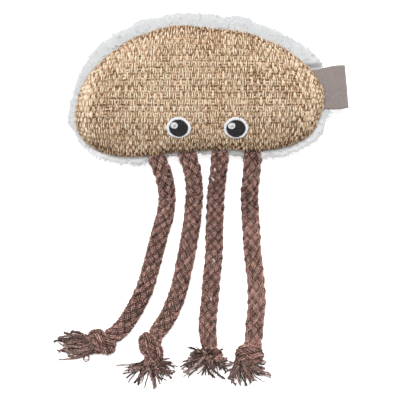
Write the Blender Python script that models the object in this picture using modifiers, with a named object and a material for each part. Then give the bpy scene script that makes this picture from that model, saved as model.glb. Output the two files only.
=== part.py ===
"""Plush jellyfish toy: a stuffed two-panel cushion with four braided cotton tentacles.

It lies on its plush back, so +Z points out of the woven front, +Y towards the top of the bell and +X to the
side that carries the folded tab. The origin is in the middle of the flat spot that it rests on. Sizes are in
millimetres in the constants below and are turned into metres when the meshes are made.
"""

import bpy
import bmesh
import math
import numpy as np
from mathutils import Vector

MM = 0.001

# ---------------------------------------------------------------- driving dimensions, mm
SEAM_Z = 17.5  # height of the seam between the two panels above the surface it lies on
GAP = 0.3  # clearance left between neighbouring pieces
HALF_GAP = 0.15
AROUND = 56  # points round each panel

FRONT_TOP = 42.0  # crown of the woven front panel
FRONT_CLOTH = 1.3  # woven upholstery cloth
SEAM_ALLOWANCE = 7.0  # cloth turned in at the seam
BACK_PILE = 4.0  # plush back panel: knitted backing with its pile pressed down

ROPE_R = 4.3  # braided cotton rope, 8.6 mm across
THREAD_R = 0.3  # sewing thread in the seam
EYE_X, EYE_Y = 5.9, 5.2  # half axes of an embroidered eye
PUPIL_X, PUPIL_Y = 4.6, 3.9
GLINT_X, GLINT_Y = 1.7, 1.35
STITCH = 0.6  # thickness of the satin stitching

TAB_WIDE = 21.8  # width of the ribbon
TAB_OUT = 12.6  # how far the folded tab stands out of the seam line
TAB_IN = 5.0
TAB_CLOTH = 0.5
TAB_HALF = 0.85  # half the distance between the middles of its two layers
TAB_TILT = math.radians(5.0)
TAB_X, TAB_Y = 61.5, 1.0

# Outline of the bell seen from the front, at its widest, from the left end over the top and back along the
# bottom: x, y, and how far the pile of the back panel stands out past it.
BELL = [
    (-59.8, -11.5, 4.2), (-58.3, -1.6, 3.4), (-53.8, 7.3, 4.7), (-45.9, 15.7, 7.0), (-35.6, 23.6, 6.1),
    (-23.2, 29.3, 6.8), (-8.4, 32.5, 6.4), (6.4, 31.2, 7.4), (21.3, 29.5, 7.6), (32.1, 25.8, 6.9),
    (43.0, 21.1, 6.6), (51.9, 14.2, 7.8), (58.3, 6.8, 6.4), (62.3, -2.0, 4.6), (60.8, -11.5, 4.2),
    (57.3, -19.9, 3.8), (50.9, -24.8, 3.6), (41.0, -28.6, 4.0), (28.7, -30.0, 2.4), (13.9, -29.3, 2.3),
    (1.5, -29.8, 1.4), (-10.9, -30.8, 1.2), (-23.2, -32.5, 2.0), (-35.6, -32.8, 3.4), (-45.9, -30.5, 2.6),
    (-53.8, -25.8, 3.2), (-58.3, -19.9, 2.9),
]

# Middle line of each rope, x and y, from its sewn-in root to its knot. The height follows from DROP below.
ROPES = {
    "tentacle_1": [
        (-22.0, -24.6), (-20.9, -28.8), (-19.8, -32.8), (-18.3, -37.2), (-16.7, -41.2), (-15.5, -47.0),
        (-15.0, -54.0), (-15.8, -61.0), (-17.9, -68.0), (-21.0, -80.0), (-24.2, -92.0), (-26.2, -98.5),
        (-29.0, -104.5), (-32.8, -111.4), (-38.5, -119.0), (-44.0, -122.6),
    ],
    "tentacle_2": [
        (-7.0, -24.3), (-5.9, -28.2), (-4.7, -32.2), (-2.7, -38.2), (-1.6, -44.5), (-1.3, -51.0),
        (-1.8, -57.5), (-2.5, -65.0), (-4.0, -74.0), (-6.2, -86.0), (-8.4, -96.0), (-11.4, -105.5),
        (-15.5, -114.0), (-21.0, -121.5),
    ],
    "tentacle_3": [
        (11.9, -24.0), (11.7, -28.0), (11.4, -32.2), (10.9, -38.2), (10.1, -44.5), (9.4, -51.0),
        (9.1, -59.0), (8.6, -68.0), (8.6, -77.0), (8.0, -86.0), (7.0, -95.0), (6.3, -105.0),
        (5.2, -115.0), (5.5, -121.5), (6.4, -127.5),
    ],
    "tentacle_4": [
        (28.0, -24.0), (27.8, -28.0), (27.5, -32.2), (27.3, -38.2), (26.7, -44.5), (26.2, -51.0),
        (26.4, -58.5), (27.0, -67.0), (27.5, -77.0), (28.5, -86.0), (29.5, -96.0), (29.9, -104.5),
        (29.0, -114.0), (28.4, -121.5), (27.4, -128.0),
    ],
}
# Height of a rope's middle line against the distance from its root: level through the seam, then down to the
# surface that the toy lies on.
DROP = [
    (0.0, SEAM_Z), (9.0, SEAM_Z - 0.1), (15.0, 16.3), (21.0, 13.9), (27.0, 10.8), (33.0, 7.9), (40.0, 5.6),
    (48.0, 4.7), (58.0, 4.6), (200.0, 4.6),
]

# Each overhand knot: middle x, y, z, half lengths, and its turn about Z in degrees.
KNOTS = {
    "tentacle_1": ((-47.6, -124.3, 6.0), (8.6, 6.2, 5.8), -36.0),
    "tentacle_2": ((-23.3, -127.4, 6.4), (6.3, 9.0, 6.2), -4.0),
    "tentacle_3": ((6.9, -130.4, 6.0), (5.8, 5.0, 5.8), 0.0),
    "tentacle_4": ((26.3, -131.2, 6.2), (7.3, 5.8, 6.0), 6.0),
}
# Outer shape of each frayed end, seen from above, and its height.
TASSELS = {
    "tentacle_1": ([
        (-56.6, -121.4), (-63.0, -121.2), (-69.4, -122.6), (-71.2, -126.6), (-70.4, -130.8), (-65.6, -133.4),
        (-59.0, -134.2), (-53.4, -132.8), (-51.6, -129.6), (-53.6, -124.6),
    ], 7.0),
    "tentacle_2": ([
        (-28.0, -134.6), (-34.0, -134.8), (-40.2, -136.8), (-37.4, -141.4), (-34.0, -145.2), (-28.0, -147.0),
        (-21.6, -147.6), (-16.0, -144.8), (-10.8, -141.2), (-10.6, -136.6), (-16.0, -134.6), (-22.0, -134.0),
    ], 6.0),
    "tentacle_3": ([
        (1.6, -130.2), (-3.4, -130.0), (-7.0, -133.2), (-8.2, -137.6), (-4.6, -142.2), (2.0, -143.2),
        (8.6, -143.4), (12.8, -142.2), (14.4, -137.6), (15.2, -133.8), (11.0, -131.0), (6.0, -131.4),
    ], 6.0),
    "tentacle_4": ([
        (20.8, -134.8), (17.4, -136.6), (16.4, -141.0), (17.4, -145.4), (23.0, -147.4), (29.6, -145.4),
        (35.2, -142.8), (36.2, -138.2), (33.6, -134.8), (27.6, -134.2),
    ], 6.0),
}

# The embroidered eyes: middle of each, x and y.
EYES = {"left": (-9.0, -18.2), "right": (19.1, -18.3)}


# ---------------------------------------------------------------- scene
for old in list(bpy.data.objects):
    bpy.data.objects.remove(old, do_unlink=True)

toy = bpy.data.collections.new("plush_jellyfish_toy")
cutters = bpy.data.collections.new("cutters")
rope_cutters = bpy.data.collections.new("rope_cutters")
seam_cutters = bpy.data.collections.new("seam_cutters")
for made in (toy, cutters, rope_cutters, seam_cutters):
    bpy.context.scene.collection.children.link(made)


def material(name, colour, roughness):
    """A plain cloth material: base colour as linear RGB."""
    m = bpy.data.materials.new(name)
    m.use_nodes = True
    shader = m.node_tree.nodes["Principled BSDF"]
    shader.inputs["Base Color"].default_value = (*colour, 1.0)
    shader.inputs["Roughness"].default_value = roughness
    shader.inputs["Metallic"].default_value = 0.0
    return m


WOVEN = material("beige_weave", (0.56, 0.41, 0.27), 0.95)
PLUSH = material("white_plush", (0.78, 0.79, 0.79), 1.0)
FIBRE = material("polyester_fibre", (0.85, 0.85, 0.83), 1.0)
COTTON = material("brown_cotton", (0.21, 0.125, 0.105), 0.95)
BLACK = material("black_embroidery", (0.015, 0.015, 0.016), 0.5)
WHITE = material("white_embroidery", (0.78, 0.79, 0.80), 0.5)
TAPE = material("grey_ribbon", (0.20, 0.17, 0.165), 0.7)
THREAD = material("sewing_thread", (0.6, 0.5, 0.38), 0.7)


def add(name, mesh, mat, where=toy):
    obj = bpy.data.objects.new(name, mesh)
    where.objects.link(obj)
    if mat:
        mesh.materials.clear()
        mesh.materials.append(mat)
    return obj


def smooth(mesh, angle=50.0):
    mesh.shade_smooth()
    mesh.set_sharp_from_angle(angle=math.radians(angle))


def hide(obj):
    """A cutter: kept in the file, and left out of the object."""
    obj.hide_render = True
    obj.display_type = "WIRE"
    return obj


def cut(obj, tool):
    """Takes one cutter away, or every cutter of a collection at once."""
    m = obj.modifiers.new("cut_" + tool.name, "BOOLEAN")
    m.operation = "DIFFERENCE"
    m.solver = "EXACT"
    if isinstance(tool, bpy.types.Collection):
        m.operand_type = "COLLECTION"
        m.collection = tool
    else:
        m.object = tool


# ---------------------------------------------------------------- curves by rule
def spline(points, closed, steps=16):
    """Points along the Catmull-Rom curve through the given ones."""
    p = np.array(points, float)
    n = len(p)
    out = []
    for i in range(n if closed else n - 1):
        if closed:
            a, b, c, d = p[i - 1], p[i], p[(i + 1) % n], p[(i + 2) % n]
        else:
            b, c = p[i], p[i + 1]
            a = p[i - 1] if i else 2 * b - c
            d = p[i + 2] if i + 2 < n else 2 * c - b
        for k in range(steps):
            t = k / steps
            out.append(0.5 * (2 * b + (c - a) * t + (2 * a - 5 * b + 4 * c - d) * t * t + (3 * b - a - 3 * c + d) * t ** 3))
    if not closed:
        out.append(p[-1])
    return np.array(out)


def evenly(points, count, closed):
    """The same curve as count points evenly spaced along it."""
    p = np.vstack([points, points[:1]]) if closed else points
    along = np.concatenate([[0.0], np.cumsum(np.linalg.norm(np.diff(p[:, :2], axis=0), axis=1))])
    at = np.linspace(0.0, along[-1], count, endpoint=not closed)
    return np.stack([np.interp(at, along, p[:, k]) for k in range(p.shape[1])], axis=1)


bell = evenly(spline(BELL, True), AROUND, True)
edge = bell[:, :2]
pile = bell[:, 2]
ahead, behind = np.roll(edge, -1, axis=0), np.roll(edge, 1, axis=0)
tangent = (ahead - behind) / np.linalg.norm(ahead - behind, axis=1)[:, None]
outward = np.stack([-tangent[:, 1], tangent[:, 0]], axis=1)  # the outline runs clockwise
spine = np.stack([0.5 * edge[:, 0], np.zeros(AROUND)], axis=1)  # the line that the crown collapses to


def ring(xy, z):
    return np.column_stack([xy, np.full(len(xy), float(z))])


def inset(off, z):
    """A ring at a distance off outside the bell's outline (negative is inside)."""
    return ring(edge + outward * np.reshape(off, (-1, 1)), z)


def scaled(s, z):
    """A ring at the share s of the way from the spine to the outline."""
    return ring(spine + s * (edge - spine), z)


def thinned(rings, by):
    """The rings moved inwards, square to the cloth's own section, by a wall thickness."""
    out = []
    for k, r in enumerate(rings):
        a, b = rings[max(k - 1, 0)], rings[min(k + 1, len(rings) - 1)]
        along = b - a
        flat = np.column_stack([r[:, :2] - spine, np.zeros(len(r))])
        flat /= np.linalg.norm(flat, axis=1)[:, None]
        run, rise = (along * flat).sum(1), along[:, 2]
        size = np.hypot(run, rise)
        out.append(r + (flat * (rise / size)[:, None] + np.array([0, 0, 1.0]) * (-run / size)[:, None]) * by)
    return out


def loft(name, rings, mat, where=toy):
    """A closed solid through unlike rings: quads between each two, and a flat cap at each end."""
    bm = bmesh.new()
    verts = [[bm.verts.new(Vector(p) * MM) for p in r] for r in rings]
    n = len(verts[0])
    for a, b in zip(verts, verts[1:]):
        for i in range(n):
            j = (i + 1) % n
            bm.faces.new((a[i], a[j], b[j], b[i]))
    bm.faces.new(verts[0])
    bm.faces.new(list(reversed(verts[-1])))
    bmesh.ops.recalc_face_normals(bm, faces=bm.faces)
    mesh = bpy.data.meshes.new(name)
    bm.to_mesh(mesh)
    bm.free()
    smooth(mesh)
    return add(name, mesh, mat, where)


def as_mesh(curve_obj, name, mat, where=toy):
    """A bevelled or filled curve as a mesh object with its caps welded, so that it can be cut."""
    graph = bpy.context.evaluated_depsgraph_get()
    mesh = bpy.data.meshes.new_from_object(curve_obj.evaluated_get(graph))
    place = curve_obj.matrix_world.copy()
    bm = bmesh.new()
    bm.from_mesh(mesh)
    bmesh.ops.remove_doubles(bm, verts=bm.verts, dist=1e-6)
    bmesh.ops.recalc_face_normals(bm, faces=bm.faces)
    bm.to_mesh(mesh)
    bm.free()
    mesh.name = name
    smooth(mesh)
    bpy.data.objects.remove(curve_obj, do_unlink=True)
    obj = add(name, mesh, mat, where)
    obj.matrix_world = place
    return obj


def tube(name, points, radius, mat, closed=False, where=toy, sides=3):
    """A round tube along a polyline given in millimetres."""
    curve = bpy.data.curves.new(name + "_line", "CURVE")
    curve.dimensions = "3D"
    curve.bevel_depth = radius * MM
    curve.bevel_resolution = sides
    curve.use_fill_caps = not closed
    run = curve.splines.new("POLY")
    run.points.add(len(points) - 1)
    for p, at in zip(run.points, points):
        p.co = (*(Vector(at) * MM), 1.0)
    run.use_cyclic_u = closed
    obj = bpy.data.objects.new(name + "_line", curve)
    where.objects.link(obj)
    bpy.context.view_layer.update()
    return as_mesh(obj, name, mat, where)


def pad(name, outline, high, mat):
    """A rounded pad over a flat outline: the fan of loose yarn at the end of a rope."""
    base = evenly(spline(outline, True), 28, True)
    middle = base.mean(axis=0)
    shape = [(0.93, 0.2), (1.0, 0.3 * high), (0.95, 0.62 * high), (0.8, 0.88 * high), (0.5, high)]
    return loft(name, [ring(middle + share * (base - middle), z) for share, z in shape], mat)


def egg(name, middle, half, turn, mat, grow=0.0, where=toy, across=20, down=12):
    """An ellipsoid from a sphere primitive, with its size applied."""
    bm = bmesh.new()
    bmesh.ops.create_uvsphere(bm, u_segments=across, v_segments=down, radius=1.0)
    bmesh.ops.scale(bm, vec=Vector([(h + grow) * MM for h in half]), verts=bm.verts)
    mesh = bpy.data.meshes.new(name)
    bm.to_mesh(mesh)
    bm.free()
    smooth(mesh)
    obj = add(name, mesh, mat, where)
    obj.location = Vector(middle) * MM
    obj.rotation_euler = (0.0, 0.0, math.radians(turn))
    return obj


# ---------------------------------------------------------------- rope paths
def rope_path(name):
    """The rope's middle line in 3D, with a point about every 5 mm."""
    flat = spline(ROPES[name], False)
    along = np.concatenate([[0.0], np.cumsum(np.linalg.norm(np.diff(flat, axis=0), axis=1))])
    count = int(along[-1] / 5.0) + 1
    at = np.linspace(0.0, along[-1], count)
    x, y = (np.interp(at, along, flat[:, k]) for k in range(2))
    knots, heights = (np.array([d[k] for d in DROP]) for k in range(2))
    fine = spline(np.column_stack([knots, heights]), False)
    z = np.interp(at, fine[:, 0], fine[:, 1])
    return np.column_stack([x, y, z])


paths = {name: rope_path(name) for name in ROPES}

# ---------------------------------------------------------------- cutters
for name, path in paths.items():
    head = path[0] + (path[0] - path[1]) / np.linalg.norm(path[0] - path[1]) * (GAP + 0.3)
    clearance = hide(tube(name + "_clearance", np.vstack([head, path[:9]]), ROPE_R + GAP, None, where=rope_cutters, sides=3))
    seam_cutters.objects.link(clearance)

seam_line = inset(-1.3, SEAM_Z)
thread_clearance = hide(tube("thread_clearance", seam_line, THREAD_R + GAP, None, closed=True, where=cutters, sides=2))

knot_clearances = {
    name: hide(egg(name + "_knot_clearance", mid, half, turn, None, grow=GAP, where=cutters))
    for name, (mid, half, turn) in KNOTS.items()
}

# The tab crosses the seam at its right end.
tab_root = Vector((TAB_X, TAB_Y, SEAM_Z))
bm = bmesh.new()
bmesh.ops.create_cube(bm, size=1.0)
bmesh.ops.scale(bm, vec=Vector(((TAB_IN + TAB_OUT + 6.0) * MM, (TAB_WIDE + 2 * GAP) * MM, 2 * (TAB_HALF + TAB_CLOTH / 2 + GAP) * MM)), verts=bm.verts)
slot_mesh = bpy.data.meshes.new("tab_slot")
bm.to_mesh(slot_mesh)
bm.free()
tab_slot = hide(add("tab_slot", slot_mesh, None, seam_cutters))
tab_slot.rotation_euler = (0.0, 0.0, TAB_TILT)
tab_slot.location = (tab_root + Vector((math.cos(TAB_TILT), math.sin(TAB_TILT), 0.0)) * ((TAB_OUT + 6.0 - TAB_IN) / 2 - GAP)) * MM

# ---------------------------------------------------------------- woven front panel
crown = [
    scaled(0.16, FRONT_TOP), scaled(0.38, FRONT_TOP - 0.9), scaled(0.56, FRONT_TOP - 2.9), scaled(0.72, FRONT_TOP - 6.0),
    scaled(0.85, FRONT_TOP - 10.0), scaled(0.945, FRONT_TOP - 14.6), inset(0.0, FRONT_TOP - 19.2), inset(-0.2, SEAM_Z + 2.4),
]
GROOVE = THREAD_R + GAP + 0.05  # half the height of the groove that the seam thread lies in
front_rings = (
    crown
    + [inset(-0.6, SEAM_Z + GROOVE), inset(-1.9, SEAM_Z + GROOVE), inset(-2.1, SEAM_Z + HALF_GAP), inset(-SEAM_ALLOWANCE, SEAM_Z + HALF_GAP), inset(-SEAM_ALLOWANCE, SEAM_Z + HALF_GAP + FRONT_CLOTH), inset(-2.6, SEAM_Z + HALF_GAP + FRONT_CLOTH + 0.05)]
    + thinned(crown, FRONT_CLOTH)[6::-1]
)
front = loft("front_panel", front_rings, WOVEN)
cut(front, seam_cutters)

# ---------------------------------------------------------------- plush back panel
back_rings = [
    scaled(0.30, 0.0), scaled(0.60, 0.0), scaled(0.76, 1.3), scaled(0.90, 4.6), inset(0.15 * pile, 8.6), inset(0.75 * pile, 12.0),
    inset(pile, 14.4), inset(0.75 * pile, 16.2), inset(-0.6, SEAM_Z - GROOVE), inset(-1.9, SEAM_Z - GROOVE), inset(-2.1, SEAM_Z - HALF_GAP),
    inset(-SEAM_ALLOWANCE, SEAM_Z - HALF_GAP), inset(-SEAM_ALLOWANCE, SEAM_Z - HALF_GAP - 1.5), inset(-4.0, SEAM_Z - HALF_GAP - 1.7),
    inset(-4.2, 12.0), scaled(0.84, 8.2), scaled(0.70, 5.2), scaled(0.30, BACK_PILE),
]
back = loft("back_panel", back_rings, PLUSH)
cut(back, seam_cutters)

# ---------------------------------------------------------------- fibre filling
filling_rings = thinned(crown[:7], FRONT_CLOTH + 0.45) + [
    inset(-4.4, SEAM_Z + 2.2), inset(-SEAM_ALLOWANCE - 1.2, SEAM_Z + 2.0), inset(-SEAM_ALLOWANCE - 1.2, SEAM_Z - 2.2), inset(-5.2, SEAM_Z - 2.4),
    inset(-5.2, 12.4), scaled(0.81, 9.0), scaled(0.68, 6.0), scaled(0.30, BACK_PILE + 0.5),
]
filling = loft("fibre_filling", filling_rings, FIBRE)
cut(filling, rope_cutters)

# ---------------------------------------------------------------- sewing thread along the seam
tube("seam_thread", evenly(seam_line, AROUND, True), THREAD_R, THREAD, closed=True, sides=1)

# ---------------------------------------------------------------- braided tentacles with knot and frayed end
for name, path in paths.items():
    rope = tube(name + "_rope", path, ROPE_R, COTTON, sides=3)
    cut(rope, thread_clearance)
    cut(rope, knot_clearances[name])
    mid, half, turn = KNOTS[name]
    egg(name + "_knot", mid, half, turn, COTTON, across=16, down=10)
    outline, high = TASSELS[name]
    frayed = pad(name + "_tassel", outline, high, COTTON)
    cut(frayed, knot_clearances[name])

# ---------------------------------------------------------------- folded ribbon tab
turns = [(-TAB_IN, TAB_HALF), (0.0, TAB_HALF), (TAB_OUT - 4.0, TAB_HALF), (TAB_OUT - TAB_HALF, TAB_HALF)]
turns += [(TAB_OUT - TAB_HALF + TAB_HALF * math.sin(a), TAB_HALF * math.cos(a)) for a in np.radians([30, 60, 90, 120, 150])]
turns += [(x, -z) for x, z in turns[3::-1]]
bm = bmesh.new()
rows = [[bm.verts.new(Vector((x, side * TAB_WIDE / 2, z)) * MM) for x, z in turns] for side in (-1, 1)]
for i in range(len(turns) - 1):
    bm.faces.new((rows[0][i], rows[0][i + 1], rows[1][i + 1], rows[1][i]))
tab_mesh = bpy.data.meshes.new("side_tab")
bm.to_mesh(tab_mesh)
bm.free()
tab = add("side_tab", tab_mesh, TAPE)
thick = tab.modifiers.new("ribbon", "SOLIDIFY")
thick.thickness = TAB_CLOTH * MM
thick.offset = 0.0
tab.location = tab_root * MM
tab.rotation_euler = (0.0, 0.0, TAB_TILT)


# ---------------------------------------------------------------- embroidered eyes
def stitched(name, middle, outer, inner, target, lift, mat):
    """A satin-stitched field: concentric ellipses laid on the cloth below, then given their thickness."""
    bm = bmesh.new()
    count = 28
    shares = (1.0, 0.5, 0.0) if inner else (1.0, 0.72, 0.4)
    loops = []
    for share in shares:
        if inner:
            rx, ry = (inner[k] + (outer[k] - inner[k]) * share for k in range(2))
        else:
            rx, ry = (outer[k] * share for k in range(2))
        loops.append([
            bm.verts.new(Vector((middle[0] + rx * math.cos(a), middle[1] + ry * math.sin(a), 60.0)) * MM)
            for a in np.linspace(0, 2 * math.pi, count, endpoint=False)
        ])
    for a, b in zip(loops, loops[1:]):
        for i in range(count):
            j = (i + 1) % count
            bm.faces.new((a[i], a[j], b[j], b[i]))
    if not inner:
        bm.faces.new(loops[-1])
    bmesh.ops.recalc_face_normals(bm, faces=bm.faces)
    for f in bm.faces:
        f.normal_update()
        if f.normal.z < 0:
            f.normal_flip()
    mesh = bpy.data.meshes.new(name)
    bm.to_mesh(mesh)
    bm.free()
    obj = add(name, mesh, mat)
    wrap = obj.modifiers.new("lay_on_cloth", "SHRINKWRAP")
    wrap.target = target
    wrap.wrap_method = "PROJECT"
    wrap.use_project_z = True
    wrap.use_negative_direction = True
    wrap.use_positive_direction = False
    wrap.wrap_mode = "ABOVE_SURFACE"
    wrap.offset = lift * MM
    thick = obj.modifiers.new("stitching", "SOLIDIFY")
    thick.thickness = STITCH * MM
    thick.offset = 1.0
    return obj


for side, (x, y) in EYES.items():
    stitched(side + "_eye_ring", (x, y), (EYE_X, EYE_Y), (PUPIL_X + GAP, PUPIL_Y + GAP), front, 0.4, WHITE)
    pupil = stitched(side + "_eye_pupil", (x, y - 0.2), (PUPIL_X, PUPIL_Y), None, front, 0.4, BLACK)
    stitched(side + "_eye_glint", (x - 2.1, y + 1.3), (GLINT_X, GLINT_Y), None, front, 0.4 + STITCH + 0.4, WHITE)
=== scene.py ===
import math

import bpy
import numpy as np
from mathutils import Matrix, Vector
from mathutils.bvhtree import BVHTree
from mathutils.kdtree import KDTree


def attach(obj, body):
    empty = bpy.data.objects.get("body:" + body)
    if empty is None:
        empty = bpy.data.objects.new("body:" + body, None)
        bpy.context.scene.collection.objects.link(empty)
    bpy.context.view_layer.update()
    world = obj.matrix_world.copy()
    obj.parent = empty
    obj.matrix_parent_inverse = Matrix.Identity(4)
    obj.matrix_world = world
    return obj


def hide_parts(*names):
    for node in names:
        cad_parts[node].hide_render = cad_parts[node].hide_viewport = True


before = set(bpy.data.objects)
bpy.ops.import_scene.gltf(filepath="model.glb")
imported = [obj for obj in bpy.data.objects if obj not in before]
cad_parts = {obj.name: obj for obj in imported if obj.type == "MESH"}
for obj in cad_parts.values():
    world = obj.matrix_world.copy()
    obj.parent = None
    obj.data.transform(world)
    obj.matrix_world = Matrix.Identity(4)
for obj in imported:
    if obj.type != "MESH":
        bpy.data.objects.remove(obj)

# A stuffed jellyfish toy: woven bell, plush back, embroidered eyes and four braided tentacles.
# Lengths below are in millimetres in the frame of the CAD model, and become metres when a mesh is made.
MM = 0.001
TAU = 2 * math.pi
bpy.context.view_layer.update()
scene = bpy.context.scene
scene.view_settings.view_transform = "Standard"
scene.view_settings.look = "None"
scene.view_settings.exposure = 0.0
scene.view_settings.gamma = 1.0

# ================================================================ camera
EYE_HEIGHT = 1500.0
REST_PLANE = 4.4
lens = bpy.data.cameras.new("camera")
lens.type = "PERSP"
lens.sensor_width = 36.0
lens.lens = 36.0 * (EYE_HEIGHT - REST_PLANE) / 200.0
lens.clip_start = 0.1
lens.clip_end = 20.0
lens.dof.use_dof = False
camera = bpy.data.objects.new("camera", lens)
camera.location = Vector((1.5, -54.0, EYE_HEIGHT)) * MM
camera.rotation_euler = (0.0, 0.0, 0.0)
scene.collection.objects.link(camera)
scene.camera = camera


# ================================================================ number helpers
def spline(points, closed, steps=16):
    """Points along the Catmull-Rom curve through the given ones."""
    p = np.array(points, float)
    n = len(p)
    out = []
    for i in range(n if closed else n - 1):
        if closed:
            a, b, c, d = p[i - 1], p[i], p[(i + 1) % n], p[(i + 2) % n]
        else:
            b, c = p[i], p[i + 1]
            a = p[i - 1] if i else 2 * b - c
            d = p[i + 2] if i + 2 < n else 2 * c - b
        t = (np.arange(steps) / steps)[:, None]
        out.append(0.5 * (2 * b + (c - a) * t + (2 * a - 5 * b + 4 * c - d) * t * t + (3 * b - a - 3 * c + d) * t ** 3))
    if not closed:
        out.append(p[-1:])
    return np.vstack(out)


def arc(p):
    return np.concatenate([[0.0], np.cumsum(np.linalg.norm(np.diff(p, axis=0), axis=1))])


def evenly(points, count, closed=False, by=None):
    """The same curve as count points evenly spaced along its first by coordinates."""
    p = np.vstack([points, points[:1]]) if closed else np.asarray(points, float)
    along = arc(p[:, :by] if by else p)
    at = np.linspace(0.0, along[-1], count, endpoint=not closed)
    return np.stack([np.interp(at, along, p[:, k]) for k in range(p.shape[1])], axis=1)


def unit(v):
    return v / np.maximum(np.linalg.norm(v, axis=-1, keepdims=True), 1e-12)


def ease(x):
    x = np.clip(x, 0.0, 1.0)
    return x * x * (3 - 2 * x)


class Noise:
    """Smooth value noise on a random lattice, from -1 to 1."""

    def __init__(self, seed, size=32):
        self.n = size
        self.grid = np.random.default_rng(seed).uniform(-1, 1, (size, size, size))

    def __call__(self, p):
        p = np.asarray(p, float)
        i = np.floor(p).astype(int)
        f = p - i
        f = f * f * (3 - 2 * f)
        n, g = self.n, self.grid
        total = 0.0
        for dx in (0, 1):
            for dy in (0, 1):
                for dz in (0, 1):
                    w = (f[..., 0] if dx else 1 - f[..., 0]) * (f[..., 1] if dy else 1 - f[..., 1]) * (f[..., 2] if dz else 1 - f[..., 2])
                    total = total + w * g[(i[..., 0] + dx) % n, (i[..., 1] + dy) % n, (i[..., 2] + dz) % n]
        return total

    def line(self, x, row=0.0):
        """Noise along a line; row picks another line."""
        x = np.asarray(x, float)
        return self(np.stack([x, np.full_like(x, row * 1.37 + 0.5), np.full_like(x, row * 0.61 + 0.2)], -1))

    def rough(self, p, octaves=3):
        total, size = 0.0, 1.0
        for k in range(octaves):
            total = total + size * self(np.asarray(p) * 2.03 ** k + 7.1 * k)
            size *= 0.5
        return total


noise = Noise(11)


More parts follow.
